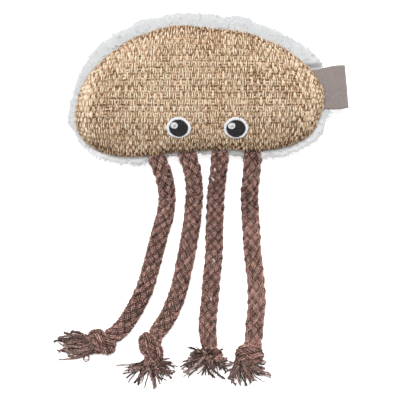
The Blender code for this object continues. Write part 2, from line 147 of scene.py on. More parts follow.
# ================================================================ mesh making
class Mesh:
    """Gathers tubes and grids, and makes one mesh of them."""

    def __init__(self):
        self.co, self.quads, self.tris = [], [], []
        self.uv4, self.uv3 = [], []
        self.tone = []
        self.count = 0

    def add(self, co, quads, uv4, tone, tris=None, uv3=None):
        self.co.append(co)
        self.quads.append(np.asarray(quads) + self.count)
        self.uv4.append(uv4)
        if tris is not None and len(tris):
            self.tris.append(np.asarray(tris) + self.count)
            self.uv3.append(uv3)
        self.tone.append(np.broadcast_to(tone, (len(co),)).astype(np.float32))
        self.count += len(co)

    def sweep(self, path, radius, sides=5, up=None, flat=1.0, tone=0.5, spin=0.0, tip=0.35, under=0.0):
        """A closed tube along a path. flat is its thickness along up over its width, under is painted shade: the tone
        it loses on the side away from up, standing in for the shade where yarns touch.
        """
        path = np.asarray(path, float)
        n = len(path)
        if n < 2:
            return
        radius = np.broadcast_to(np.asarray(radius, float), (n,))
        flat = np.broadcast_to(np.asarray(flat, float), (n,))
        t = unit(np.gradient(path, axis=0))
        if up is None:
            nrm = carried(t)
        else:
            nrm = np.broadcast_to(np.asarray(up, float), (n, 3))
            nrm = unit(nrm - (nrm * t).sum(1, keepdims=True) * t)
        side = np.cross(t, nrm)
        a = np.arange(sides) / sides * TAU + spin
        ring = (
            path[:, None]
            + side[:, None] * (np.cos(a)[None, :, None] * radius[:, None, None])
            + nrm[:, None] * (np.sin(a)[None, :, None] * (radius * flat)[:, None, None])
        )
        ends = np.stack([path[0] - t[0] * radius[0] * tip, path[-1] + t[-1] * radius[-1] * tip])
        co = np.vstack([ring.reshape(-1, 3), ends])
        i = np.arange(n - 1)[:, None] * sides
        j = np.arange(sides)[None]
        k = (j + 1) % sides
        quads = np.stack([i + j, i + k, i + sides + k, i + sides + j], -1).reshape(-1, 4)
        v = arc(path)
        u0, u1 = j / sides, (j + 1) / sides
        va, vb = v[:-1][:, None], v[1:][:, None]
        shape = (n - 1, sides)
        uv4 = np.stack(
            [np.stack([np.broadcast_to(u, shape), np.broadcast_to(w, shape)], -1) for u, w in ((u0, va), (u1, va), (u1, vb), (u0, vb))],
            2,
        ).reshape(-1, 4, 2)
        j = np.arange(sides)
        k = (j + 1) % sides
        first, last = n * sides, n * sides + 1
        tris = np.vstack([np.stack([k, j, np.full(sides, first)], 1), np.stack([(n - 1) * sides + j, (n - 1) * sides + k, np.full(sides, last)], 1)])
        uv3 = np.zeros((2 * sides, 3, 2))
        uv3[:sides, :, 1], uv3[sides:, :, 1] = v[0], v[-1]
        uv3[:, 0, 0] = uv3[:, 2, 0] = np.tile(j / sides, 2)
        uv3[:, 1, 0] = np.tile((j + 1) / sides, 2)
        tone = np.broadcast_to(np.asarray(tone, float), (n,))
        # painted shade: the side of the tube facing away from up is painted darker by under
        painted_shade_tone = tone[:, None] - under * (1 - np.sin(a))[None] / 2
        tones = np.concatenate([painted_shade_tone.ravel(), [tone[0], tone[-1]]])
        self.add(co, quads, uv4, tones, tris, uv3)

    def grid(self, co, uv, closed_u=True, tone=0.5, cap_first=False, cap_last=False):
        """Rows of points (rows, columns, 3) joined by quads, facing out when the columns run clockwise from above."""
        rows, cols = co.shape[:2]
        last = cols if closed_u else cols - 1
        i = np.arange(rows - 1)[:, None] * cols
        j = np.arange(last)[None]
        k = (j + 1) % cols
        quads = np.stack([i + j, i + k, i + cols + k, i + cols + j], -1).reshape(-1, 4)
        u = uv.reshape(-1, 2)
        flat = co.reshape(-1, 3)
        tone = np.asarray(tone, float)
        tone = tone.reshape(-1) if tone.size > 1 else np.full(len(flat), float(tone))
        tris, uv3 = [], []
        extra, extra_tone = [], []
        for on, row in ((cap_first, 0), (cap_last, rows - 1)):
            if on:
                centre = len(flat) + len(extra)
                extra.append(co[row].mean(0))
                extra_tone.append(float(tone[row * cols]))
                a, b = row * cols + np.arange(cols), row * cols + (np.arange(cols) + 1) % cols
                c = np.full(cols, centre)
                tris.append(np.stack([b, a, c], 1) if row == 0 else np.stack([a, b, c], 1))
                uv3.append(np.zeros((cols, 3, 2)))
        if extra:
            flat = np.vstack([flat, extra])
            tone = np.concatenate([tone, extra_tone])
        self.add(flat, quads, u[quads], tone, np.vstack(tris) if tris else None, np.vstack(uv3) if uv3 else None)

    def make(self, name, material, outward=False):
        co = np.vstack(self.co) * MM
        quads = np.vstack(self.quads)
        tris = np.vstack(self.tris) if self.tris else np.zeros((0, 3), int)
        mesh = bpy.data.meshes.new(name)
        mesh.vertices.add(len(co))
        mesh.vertices.foreach_set("co", co.astype(np.float32).ravel())
        mesh.loops.add(quads.size + tris.size)
        mesh.loops.foreach_set("vertex_index", np.concatenate([quads.ravel(), tris.ravel()]).astype(np.int32))
        mesh.polygons.add(len(quads) + len(tris))
        starts = np.concatenate([np.arange(len(quads)) * 4, quads.size + np.arange(len(tris)) * 3])
        mesh.polygons.foreach_set("loop_start", starts.astype(np.int32))
        mesh.update(calc_edges=True)
        uv = np.vstack([np.vstack(self.uv4).reshape(-1, 2)] + ([np.vstack(self.uv3).reshape(-1, 2)] if self.uv3 else []))
        layer = mesh.uv_layers.new(name="yarn")
        layer.data.foreach_set("uv", uv.astype(np.float32).ravel())
        tone = mesh.attributes.new("tone", "FLOAT", "POINT")
        tone.data.foreach_set("value", np.concatenate(self.tone).astype(np.float32))
        mesh.shade_smooth()
        mesh.materials.append(material)
        mesh.validate()
        obj = bpy.data.objects.new(name, mesh)
        scene.collection.objects.link(obj)
        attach(obj, "root")
        return obj


def carried(t):
    """A normal carried along a line with the least turning."""
    n = np.zeros_like(t)
    start = np.array([0.0, 0.0, 1.0]) if abs(t[0, 2]) < 0.8 else np.array([0.0, 1.0, 0.0])
    n[0] = start - t[0] * (start @ t[0])
    n[0] /= np.linalg.norm(n[0])
    for k in range(1, len(t)):
        v = n[k - 1] - t[k] * (n[k - 1] @ t[k])
        n[k] = v / np.linalg.norm(v)
    return n


# ================================================================ material helpers
class Nodes:
    def __init__(self, name, colour=(0.8, 0.8, 0.8), roughness=0.9, sheen=0.0, sheen_colour=None, specular=0.3):
        self.material = bpy.data.materials.new(name)
        self.material.use_nodes = True
        self.tree = self.material.node_tree
        self.shader = self.tree.nodes["Principled BSDF"]
        self.shader.inputs["Base Color"].default_value = (*colour, 1.0)
        self.shader.inputs["Roughness"].default_value = roughness
        self.shader.inputs["Specular IOR Level"].default_value = specular
        self.shader.inputs["Sheen Weight"].default_value = sheen
        self.shader.inputs["Sheen Roughness"].default_value = 0.6
        if sheen_colour:
            self.shader.inputs["Sheen Tint"].default_value = (*sheen_colour, 1.0)

    def node(self, kind, inputs=(), **settings):
        made = self.tree.nodes.new(kind)
        for key, value in settings.items():
            setattr(made, key, value)
        for key, value in dict(inputs).items():
            self.put(made.inputs[key], value)
        return made

    def put(self, socket, value):
        if isinstance(value, bpy.types.NodeSocket):
            self.tree.links.new(value, socket)
        else:
            socket.default_value = value

    def math(self, operation, *values):
        made = self.node("ShaderNodeMath", operation=operation)
        for k, value in enumerate(values):
            self.put(made.inputs[k], value)
        return made.outputs[0]

    def attribute(self, name):
        return self.node("ShaderNodeAttribute", attribute_name=name).outputs["Fac"]

    def uv(self):
        found = self.node("ShaderNodeUVMap", uv_map="yarn").outputs[0]
        split = self.node("ShaderNodeSeparateXYZ", {0: found})
        return split.outputs[0], split.outputs[1]

    def place(self, x=1.0, y=1.0, z=1.0):
        """The point on the object, in millimetres times x, y and z."""
        at = self.node("ShaderNodeTexCoord").outputs["Object"]
        return self.node("ShaderNodeVectorMath", {0: at, 1: (1000.0 * x, 1000.0 * y, 1000.0 * z)}, operation="MULTIPLY").outputs[0]

    def noise(self, scale, detail=2.0, vector=None, roughness=0.5):
        return self.node("ShaderNodeTexNoise", {"Vector": vector or self.place(), "Scale": scale, "Detail": detail, "Roughness": roughness}).outputs[0]

    def ramp(self, value, stops):
        made = self.node("ShaderNodeValToRGB", {0: value})
        band = made.color_ramp
        while len(band.elements) > 1:
            band.elements.remove(band.elements[-1])
        band.elements[0].position, band.elements[0].color = stops[0][0], (*stops[0][1], 1.0)
        for at, colour in stops[1:]:
            band.elements.new(at).color = (*colour, 1.0)
        return made.outputs[0]

    def mix(self, share, a, b, kind="MIX"):
        made = self.node("ShaderNodeMix", data_type="RGBA", blend_type=kind)
        for socket, value in ((made.inputs[0], share), (made.inputs[6], a), (made.inputs[7], b)):
            self.put(socket, (*value, 1.0) if isinstance(value, tuple) and len(value) == 3 else value)
        return made.outputs[2]

    def bump(self, height, distance, strength=1.0):
        made = self.node("ShaderNodeBump", {"Height": height, "Distance": distance * MM, "Strength": strength})
        self.put(self.shader.inputs["Normal"], made.outputs[0])

    def colour(self, value):
        self.put(self.shader.inputs["Base Color"], value)

    def twist(self, plies, pitch):
        """The ridges of a yarn's twisted plies, from 0 to 1."""
        u, v = self.uv()
        turn = self.math("MULTIPLY_ADD", u, float(plies), self.math("DIVIDE", v, pitch))
        return self.math("MULTIPLY_ADD", self.math("SINE", self.math("MULTIPLY", turn, TAU)), 0.5, 0.5)


def cotton_material(name, dark, mid, light, fleck, grey, pink):
    m = Nodes(name, mid, 0.95, sheen=0.08, sheen_colour=(0.9, 0.75, 0.7), specular=0.15)
    tone = m.attribute("tone")
    grain = m.noise(0.8, 3.0)
    fine = m.noise(3.6, 2.0)
    ply = m.twist(2, 1.9)
    value = m.math("ADD", tone, m.math("MULTIPLY", m.math("SUBTRACT", grain, 0.5), 0.60))
    value = m.math("ADD", value, m.math("MULTIPLY", m.math("SUBTRACT", fine, 0.5), 0.9))
    # painted shade: the ridges of the twisted plies are painted lighter and the grooves between them darker, beside the
    # bump
    value = m.math("ADD", value, m.math("MULTIPLY", m.math("SUBTRACT", ply, 0.5), 0.42))
    colour = m.ramp(value, [(0.0, dark), (0.5, mid), (1.0, light)])
    # the dye is uneven: some stretches are greyer, some pinker
    hue = m.noise(0.33, 3.0)
    colour = m.mix(m.math("MULTIPLY", m.math("SMOOTH_MIN", m.math("MAXIMUM", m.math("SUBTRACT", hue, 0.52), 0.0), 0.1, 0.02), 4.0), colour, grey)
    colour = m.mix(m.math("MULTIPLY", m.math("SMOOTH_MIN", m.math("MAXIMUM", m.math("SUBTRACT", 0.47, hue), 0.0), 0.1, 0.02), 3.0), colour, pink)
    # rare pale fibres caught in the yarn
    spot = m.noise(0.55, 1.0)
    colour = m.mix(m.math("GREATER_THAN", m.math("MULTIPLY", spot, m.math("ADD", fine, 0.35)), 0.73), colour, fleck)
    m.colour(colour)
    m.bump(m.math("ADD", ply, m.math("MULTIPLY", fine, 0.8)), 0.14, 0.9)
    return m.material


def linear(*rgb):
    """Linear colour from 0-255 screen values."""
    out = []
    for c in rgb:
        c /= 255.0
        out.append(c / 12.92 if c <= 0.04045 else ((c + 0.055) / 1.055) ** 2.4)
    return tuple(out)


COTTON = cotton_material(
    "brown_cotton", linear(34, 22, 20), linear(124, 92, 85), linear(204, 162, 149), linear(210, 184, 148), linear(108, 93, 85), linear(160, 112, 101)
)
FRAY = cotton_material(
    "brown_cotton_frayed", linear(38, 26, 24), linear(120, 92, 86), linear(194, 162, 152), linear(196, 176, 156), linear(108, 94, 86), linear(150, 110, 100)
)

# ================================================================ ropes
ROPES = {
    "tentacle_1": [
        (-22.0, -24.6), (-20.9, -28.8), (-19.8, -32.8), (-18.3, -37.2), (-16.7, -41.2), (-15.5, -47.0),
        (-15.0, -54.0), (-15.8, -61.0), (-17.9, -68.0), (-21.0, -80.0), (-24.2, -92.0), (-26.2, -98.5),
        (-29.0, -104.5), (-32.8, -111.4), (-38.5, -119.0), (-44.0, -122.6),
    ],
    "tentacle_2": [
        (-7.0, -24.3), (-5.9, -28.2), (-4.7, -32.2), (-2.7, -38.2), (-1.6, -44.5), (-1.3, -51.0),
        (-1.8, -57.5), (-2.5, -65.0), (-4.0, -74.0), (-6.2, -86.0), (-8.4, -96.0), (-11.4, -105.5),
        (-15.5, -114.0), (-21.0, -121.5),
    ],
    "tentacle_3": [
        (11.9, -24.0), (11.7, -28.0), (11.4, -32.2), (10.9, -38.2), (10.1, -44.5), (9.4, -51.0),
        (9.1, -59.0), (8.6, -68.0), (8.6, -77.0), (8.0, -86.0), (7.0, -95.0), (6.3, -105.0),
        (5.2, -115.0), (5.5, -121.5), (6.4, -127.5),
    ],
    "tentacle_4": [
        (28.0, -24.0), (27.8, -28.0), (27.5, -32.2), (27.3, -38.2), (26.7, -44.5), (26.2, -51.0),
        (26.4, -58.5), (27.0, -67.0), (27.5, -77.0), (28.5, -86.0), (29.5, -96.0), (29.9, -104.5),
        (29.0, -114.0), (28.4, -121.5), (27.4, -128.0),
    ],
}
SEAM_Z = 17.5
DROP = [
    (0.0, SEAM_Z), (9.0, SEAM_Z - 0.1), (15.0, 16.3), (21.0, 13.9), (27.0, 10.8), (33.0, 7.9), (40.0, 5.6),
    (48.0, 4.7), (58.0, 4.6), (200.0, 4.6),
]


def rope_path(name, step=0.66):
    flat = spline(ROPES[name], False, 24)
    along = arc(flat)
    fine = spline(DROP, False, 24)
    z = np.interp(along, fine[:, 0], fine[:, 1])
    path = np.column_stack([flat, z])
    return evenly(path, int(arc(path)[-1] / step) + 1)


def braid(store, path, seed, scale=1.0, lay=31.0, core=3.24, swing=1.05, yarn=0.42, yarns=3, strands=12, width=0.90, start=0.0, sides=4, drift=1.0, shade=0.0):
    """Strands of parallel yarns, half of them winding each way, over one and under one."""
    rng = np.random.default_rng(seed)
    n = len(path)
    along = arc(path)
    scale = np.broadcast_to(np.asarray(scale, float), (n,))
    t = unit(np.gradient(path, axis=0))
    nrm = carried(t)
    side = np.cross(t, nrm)
    per = strands // 2
    speed = TAU / lay * (1 + 0.10 * noise.line(along / 13.0, seed))
    phase = start + np.concatenate([[0.0], np.cumsum((speed[1:] + speed[:-1]) / 2 * np.diff(along))])
    # the slack yarns in the middle of the rope, painted at almost the darkest tone as painted shade seen between the
    # strands
    store.sweep(path, 2.3 * scale, 8, tone=0.02)
    for s in range(strands):
        way = 1.0 if s < per else -1.0
        base = TAU * (s % per) / per
        loose = 0.07 * noise.line(along / 9.0, seed + 3 + s) * drift
        bulge = 1 + 0.06 * noise.line(along / 7.0, seed + 31 + s) * drift
        strand_tone = rng.normal(0, 0.05)
        for m in range(yarns):
            off = (m - (yarns - 1) / 2)
            spread = off * (width / yarns)
            angle = way * phase + base + spread + loose
            lift = way * np.cos(per * (phase + way * spread / 2))
            lift = lift / np.sqrt(0.45 + 0.55 * lift * lift)
            wob = 0.12 * noise.line(along / 2.3, seed + 101 + s * 7 + m)
            r = (core + swing * lift - 0.16 * off * off + wob) * scale * bulge
            thick = yarn * scale * (1 + 0.15 * noise.line(along / 3.1, seed + 211 + s * 7 + m)) * (1 + 0.08 * lift)
            at = path + (side * np.cos(angle)[:, None] + nrm * np.sin(angle)[:, None]) * r[:, None]
            out = side * np.cos(angle)[:, None] + nrm * np.sin(angle)[:, None]
            # painted shade: the tone is lighter where a yarn rides over (0.38 * lift) and darker where it dives under,
            # and darker at a strand's outer yarns (0.13 * off * off)
            tone = 0.55 + shade + strand_tone + rng.normal(0, 0.15) + 0.38 * lift - 0.13 * off * off + 0.08 * noise.line(along / 2.6, seed + 401 + s * 7 + m)
            # it lies on the ground and doesn't go through it
            at[:, 2] = np.maximum(at[:, 2], thick + 0.02)
            # under=1.0 paints shade on the side of each yarn that faces into the rope
            store.sweep(at, thick, sides, up=out, flat=1.0, tone=tone, spin=math.pi / 2, under=1.0)


def stray(store, path, seed, count, reach, base, low, high, thick=0.07):
    """Short loose fibres standing out of a rope."""
    rng = np.random.default_rng(seed)
    t = unit(np.gradient(path, axis=0))
    nrm = carried(t)
    side = np.cross(t, nrm)
    for _ in range(count):
        i = rng.integers(2, len(path) - 2)
        a = rng.uniform(0, TAU)
        out = side[i] * math.cos(a) + nrm[i] * math.sin(a)
        lean = unit(out * rng.uniform(0.3, 1.0) + t[i] * rng.normal(0, 1) + np.cross(out, t[i]) * rng.normal(0, 0.7))
        length = rng.uniform(low, high)
        s = np.linspace(0, 1, 5)[:, None]
        bend = np.cross(lean, rng.normal(size=3))
        at = path[i] + out * (base - 0.3) + lean * s * length + bend * (s ** 2) * rng.normal(0, 0.5)
        far = np.linalg.norm(at - path[i], axis=1)
        at = path[i] + (at - path[i]) * np.minimum(1.0, (base + reach) / np.maximum(far, 1e-6))[:, None]
        at[:, 2] = np.maximum(at[:, 2], 0.15)
        store.sweep(at, np.linspace(thick, thick * 0.5, 5), 3, tone=rng.uniform(0.3, 0.9))


paths = {name: rope_path(name) for name in ROPES}
for k, (name, path) in enumerate(paths.items()):
    store = Mesh()
    along = arc(path)
    # the rope is drawn in a little where it is sewn and where it runs into its knot
    size = 1 + 0.018 * noise.line(along / 11.0, 60 + k)
    size = size * (1.04 - 0.04 * ease(along / 16.0)) * (0.90 + 0.10 * ease((along[-1] - along) / 7.0))
    # painted light: shade raises the painted tone of a rope near the bell and near its knot, by amounts set per rope,
    # to lighten stretches that fall darker in the light
    near_bell, near_knot = {"tentacle_1": (0.14, 0.05), "tentacle_2": (0.05, 0.04), "tentacle_3": (0.03, 0.07), "tentacle_4": (0.03, 0.22)}[name]
    braid(store, path, 20 + 10 * k, size, start=1.1 * k, shade=near_bell + (near_knot - near_bell) * ease((along - 20.0) / 50.0))
    stray(store, path, 5 + k, 90, 1.5, 4.3, 1.2, 3.4)
    store.make(name + "_braid", COTTON)
    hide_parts(name + "_rope")


# Pale fibres that were spun in by chance: where each lies, x, y and its direction, and its length.
caught = {"white": Mesh(), "straw": Mesh()}
for kind, rope, x, y, turn, long in (
    ("white", "tentacle_3", 8.9, -39.0, -58, 1.5), ("white", "tentacle_3", 7.8, -43.6, -55, 1.9), ("white", "tentacle_3", 8.4, -84.0, -62, 1.6),
    ("straw", "tentacle_1", -24.0, -87.4, 70, 1.3), ("straw", "tentacle_4", 27.6, -85.6, 40, 1.8), ("straw", "tentacle_4", 27.9, -86.4, 15, 1.4),
    ("straw", "tentacle_3", 5.2, -73.0, 60, 1.2), ("white", "tentacle_3", 7.0, -103.4, 75, 1.3),
):
    near = paths[rope][np.argmin(np.hypot(paths[rope][:, 0] - x, paths[rope][:, 1] - y))]
    s = np.linspace(-0.5, 0.5, 6)
    a = math.radians(turn)
    line = np.column_stack([x + s * long * math.cos(a), y + s * long * math.sin(a), np.zeros(6)])
    off = np.hypot(line[:, 0] - near[0], line[:, 1] - near[1])
    line[:, 2] = near[2] + np.sqrt(np.maximum(4.62 ** 2 - off ** 2, 1.0)) - 0.35 * (2 * s) ** 2
    for m in (-1, 1):
        side = np.array([-math.sin(a), math.cos(a), 0.0]) * 0.13 * m
        caught[kind].sweep(line + side, 0.17, 4, tone=0.5)
for kind, colour in (("white", linear(232, 226, 222)), ("straw", linear(206, 170, 122))):
    m = Nodes("caught_" + kind, colour, 0.9)
    m.colour(m.ramp(m.noise(2.5, 2.0), [(0.3, tuple(0.8 * c for c in colour)), (0.6, colour)]))
    made = caught[kind].make("caught_fibres_" + kind, m.material)


# ================================================================ knots
# The course of each rope through its overhand knot: in, under the bight, round, over the top, down and out.
KNOTS = {
    "tentacle_1": dict(r=4.3, points=[
        (-40.6, -120.6, 5.0), (-45.4, -124.2, 4.3), (-49.2, -127.2, 4.3), (-51.0, -125.4, 5.4), (-50.2, -121.9, 7.6),
        (-47.4, -124.3, 8.9), (-44.7, -127.0, 7.6), (-44.6, -127.6, 5.0), (-47.6, -126.4, 4.2), (-52.4, -126.8, 4.6),
    ]),
    "tentacle_2": dict(r=4.0, points=[
        (-18.2, -117.8, 4.9), (-21.3, -123.4, 4.3), (-23.4, -129.2, 4.2), (-25.2, -127.4, 5.6), (-25.4, -123.0, 7.6),
        (-23.0, -126.0, 8.9), (-20.4, -130.0, 7.8), (-20.8, -132.2, 5.0), (-22.8, -133.0, 4.2), (-23.6, -136.6, 4.4),
    ]),
    "tentacle_3": dict(r=3.4, points=[
        (5.5, -120.6, 4.8), (6.3, -127.0, 4.2), (7.6, -131.8, 4.0), (4.8, -132.2, 5.0), (3.9, -130.0, 6.6),
        (6.7, -130.8, 7.6), (9.5, -131.0, 6.6), (9.6, -132.4, 4.6), (6.8, -133.0, 4.0), (5.8, -135.0, 5.2),
    ]),
    "tentacle_4": dict(r=4.4, points=[
        (28.6, -121.2, 4.8), (28.0, -126.6, 4.4), (25.8, -132.0, 4.4), (23.6, -131.6, 5.6), (23.2, -130.1, 7.5),
        (26.2, -130.7, 8.7), (29.2, -131.0, 7.5), (29.4, -132.2, 5.2), (26.4, -132.8, 4.4), (22.4, -134.6, 5.0),
    ]),
}
for k, (name, f) in enumerate(KNOTS.items()):
    p = spline(f["points"], False, 16)
    p = evenly(p, int(arc(p)[-1] / 0.46) + 1)
    for _ in range(10):
        p[1:-1] += 0.4 * ((p[:-2] + p[2:]) / 2 - p[1:-1])
    # the ends dive into the rope and into the frayed end
    store = Mesh()
    along = arc(p)
    size = f["r"] / 4.25 * (0.84 + 0.16 * ease(along / 6.0) * ease((along[-1] - along) / 6.0)) * (1 + 0.04 * noise.line(along / 5.0, 80 + k))
    # painted light: knot 3 is painted much lighter all over (shade 0.58), to lift how dark it falls
    braid(store, p, 300 + 10 * k, size, lay=34.0, start=0.7 * k, yarn=0.45, swing=0.62, shade=0.58 if name == "tentacle_3" else 0.02)
    stray(store, p, 50 + k, 36, 0.9, f["r"], 0.8, 2.2)
    store.make(name + "_overhand_knot", COTTON)
    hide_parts(name + "_knot")

# ================================================================ frayed ends
# Each fan: its root, the way the rope points there, and where its yarns end, x and y.
FANS = {
    "tentacle_1": dict(
        root=(-53.2, -127.0, 4.6), way=(-1.0, -0.04, 0.0), spread=5.6, height=7.4, matted=1.0, extra=66,
        tips=[
            (-71.2, -125.2), (-71.0, -126.6), (-70.0, -128.4), (-69.2, -124.0), (-66.0, -121.6), (-68.8, -129.6),
            (-66.4, -131.4), (-67.6, -127.4), (-64.2, -124.8), (-63.4, -122.6), (-61.8, -129.2), (-67.4, -126.0),
            (-65.4, -128.4), (-60.6, -131.2), (-58.4, -131.8), (-61.0, -124.4), (-68.4, -122.9), (-59.2, -126.4),
            (-64.0, -130.6), (-69.0, -127.6), (-62.6, -126.6), (-66.8, -124.4), (-60.8, -128.2), (-63.0, -131.6),
        ],
        locks=[
            ([(-53.6, -131.0, 2.0), (-57.2, -132.2, 1.4), (-61.0, -133.2, 1.0), (-65.2, -133.6, 0.8), (-69.2, -133.9, 0.8)], 0.34, 0.98),
            ([(-56.6, -130.6, 2.4), (-54.6, -131.8, 1.6), (-54.2, -133.6, 1.0), (-55.8, -134.4, 0.8), (-57.0, -133.4, 0.9), (-56.2, -132.2, 1.2)], 0.24, 0.75),
            ([(-55.0, -121.8, 3.4), (-59.6, -121.4, 2.8), (-64.0, -120.8, 1.6), (-67.0, -119.8, 0.9)], 0.2, 0.8),
        ],
    ),
    "tentacle_2": dict(
        root=(-23.2, -133.6, 4.8), way=(0.0, -1.0, 0.0), spread=3.4, height=5.6, extra=48, tone=0.40,
        tips=[
            (-38.0, -139.2), (-36.8, -141.0), (-35.4, -142.8), (-37.2, -140.0), (-31.2, -146.0),
            (-29.8, -146.9), (-28.6, -146.3), (-30.4, -145.2), (-21.4, -147.8), (-20.2, -147.4), (-18.8, -146.2), (-20.8, -146.6),
            (-17.2, -145.2), (-15.4, -144.2), (-13.2, -143.0), (-12.4, -142.2), (-10.8, -141.2), (-10.2, -138.4),
            (-11.0, -139.8), (-12.0, -135.6), (-13.0, -137.0), (-14.0, -141.4),
        ],
        locks=[
            ([(-24.0, -135.6, 4.2), (-29.0, -135.6, 3.6), (-35.0, -136.4, 2.0), (-40.4, -137.0, 0.9)], 0.17, 0.7),
            ([(-24.6, -136.4, 3.6), (-29.6, -139.2, 2.6), (-32.8, -142.6, 1.4), (-34.8, -145.4, 0.6)], 0.15, 0.3),
            ([(-23.6, -137.4, 3.2), (-24.6, -142.0, 2.0), (-25.6, -145.6, 1.0), (-26.2, -148.0, 0.6)], 0.15, 0.3),
        ],
    ),
    "tentacle_3": dict(
        root=(5.4, -132.8, 9.6), way=(0.0, -0.30, 0.35), spread=4.0, height=8.4, extra=58, tone=0.38, root_painted_shade=-0.04,
        tips=[
            (-8.8, -137.2), (-8.0, -138.4), (-7.6, -140.4), (-6.6, -142.2), (-4.8, -143.0), (-5.0, -128.8), (-2.4, -129.2),
            (-3.4, -131.4), (-4.6, -133.2), (1.2, -141.2), (4.6, -142.8), (6.6, -142.2), (8.8, -143.2), (11.4, -143.0),
            (13.4, -143.8), (14.2, -140.6), (15.2, -138.0), (15.8, -135.2), (15.0, -133.0), (13.8, -131.4), (9.6, -140.8),
            (17.4, -134.0), (16.8, -136.6), (3.0, -139.6), (-1.0, -138.8),
            (-3.2, -127.8, 7.0), (-1.4, -127.2, 9.0), (0.6, -127.6, 10.6), (2.6, -126.4, 10.6), (4.6, -127.4, 11.2), (6.8, -127.0, 11.2),
            (9.2, -127.4, 10.8), (11.2, -128.2, 9.8), (13.2, -129.0, 7.0), (1.6, -129.4, 11.2), (7.8, -128.8, 11.4), (10.8, -130.0, 10.6),
        ],
    ),
    "tentacle_4": dict(
        root=(22.0, -134.6, 6.8), way=(-0.3, -0.80, 0.30), spread=3.8, height=7.0, extra=40,
        tips=[
            (35.6, -135.4), (37.0, -141.4), (37.2, -142.8), (33.8, -143.4), (31.6, -142.0), (29.6, -145.0), (28.0, -147.0),
            (26.8, -146.4), (24.6, -147.6), (22.0, -146.6), (20.6, -146.4), (19.0, -146.8), (17.6, -145.6), (16.6, -144.4),
            (15.8, -143.0), (15.4, -139.2), (15.2, -136.4), (16.4, -134.4), (32.6, -138.4), (31.0, -140.2), (25.0, -144.0),
            (35.0, -139.6), (33.0, -141.2), (29.0, -139.4),
        ],
    ),
}


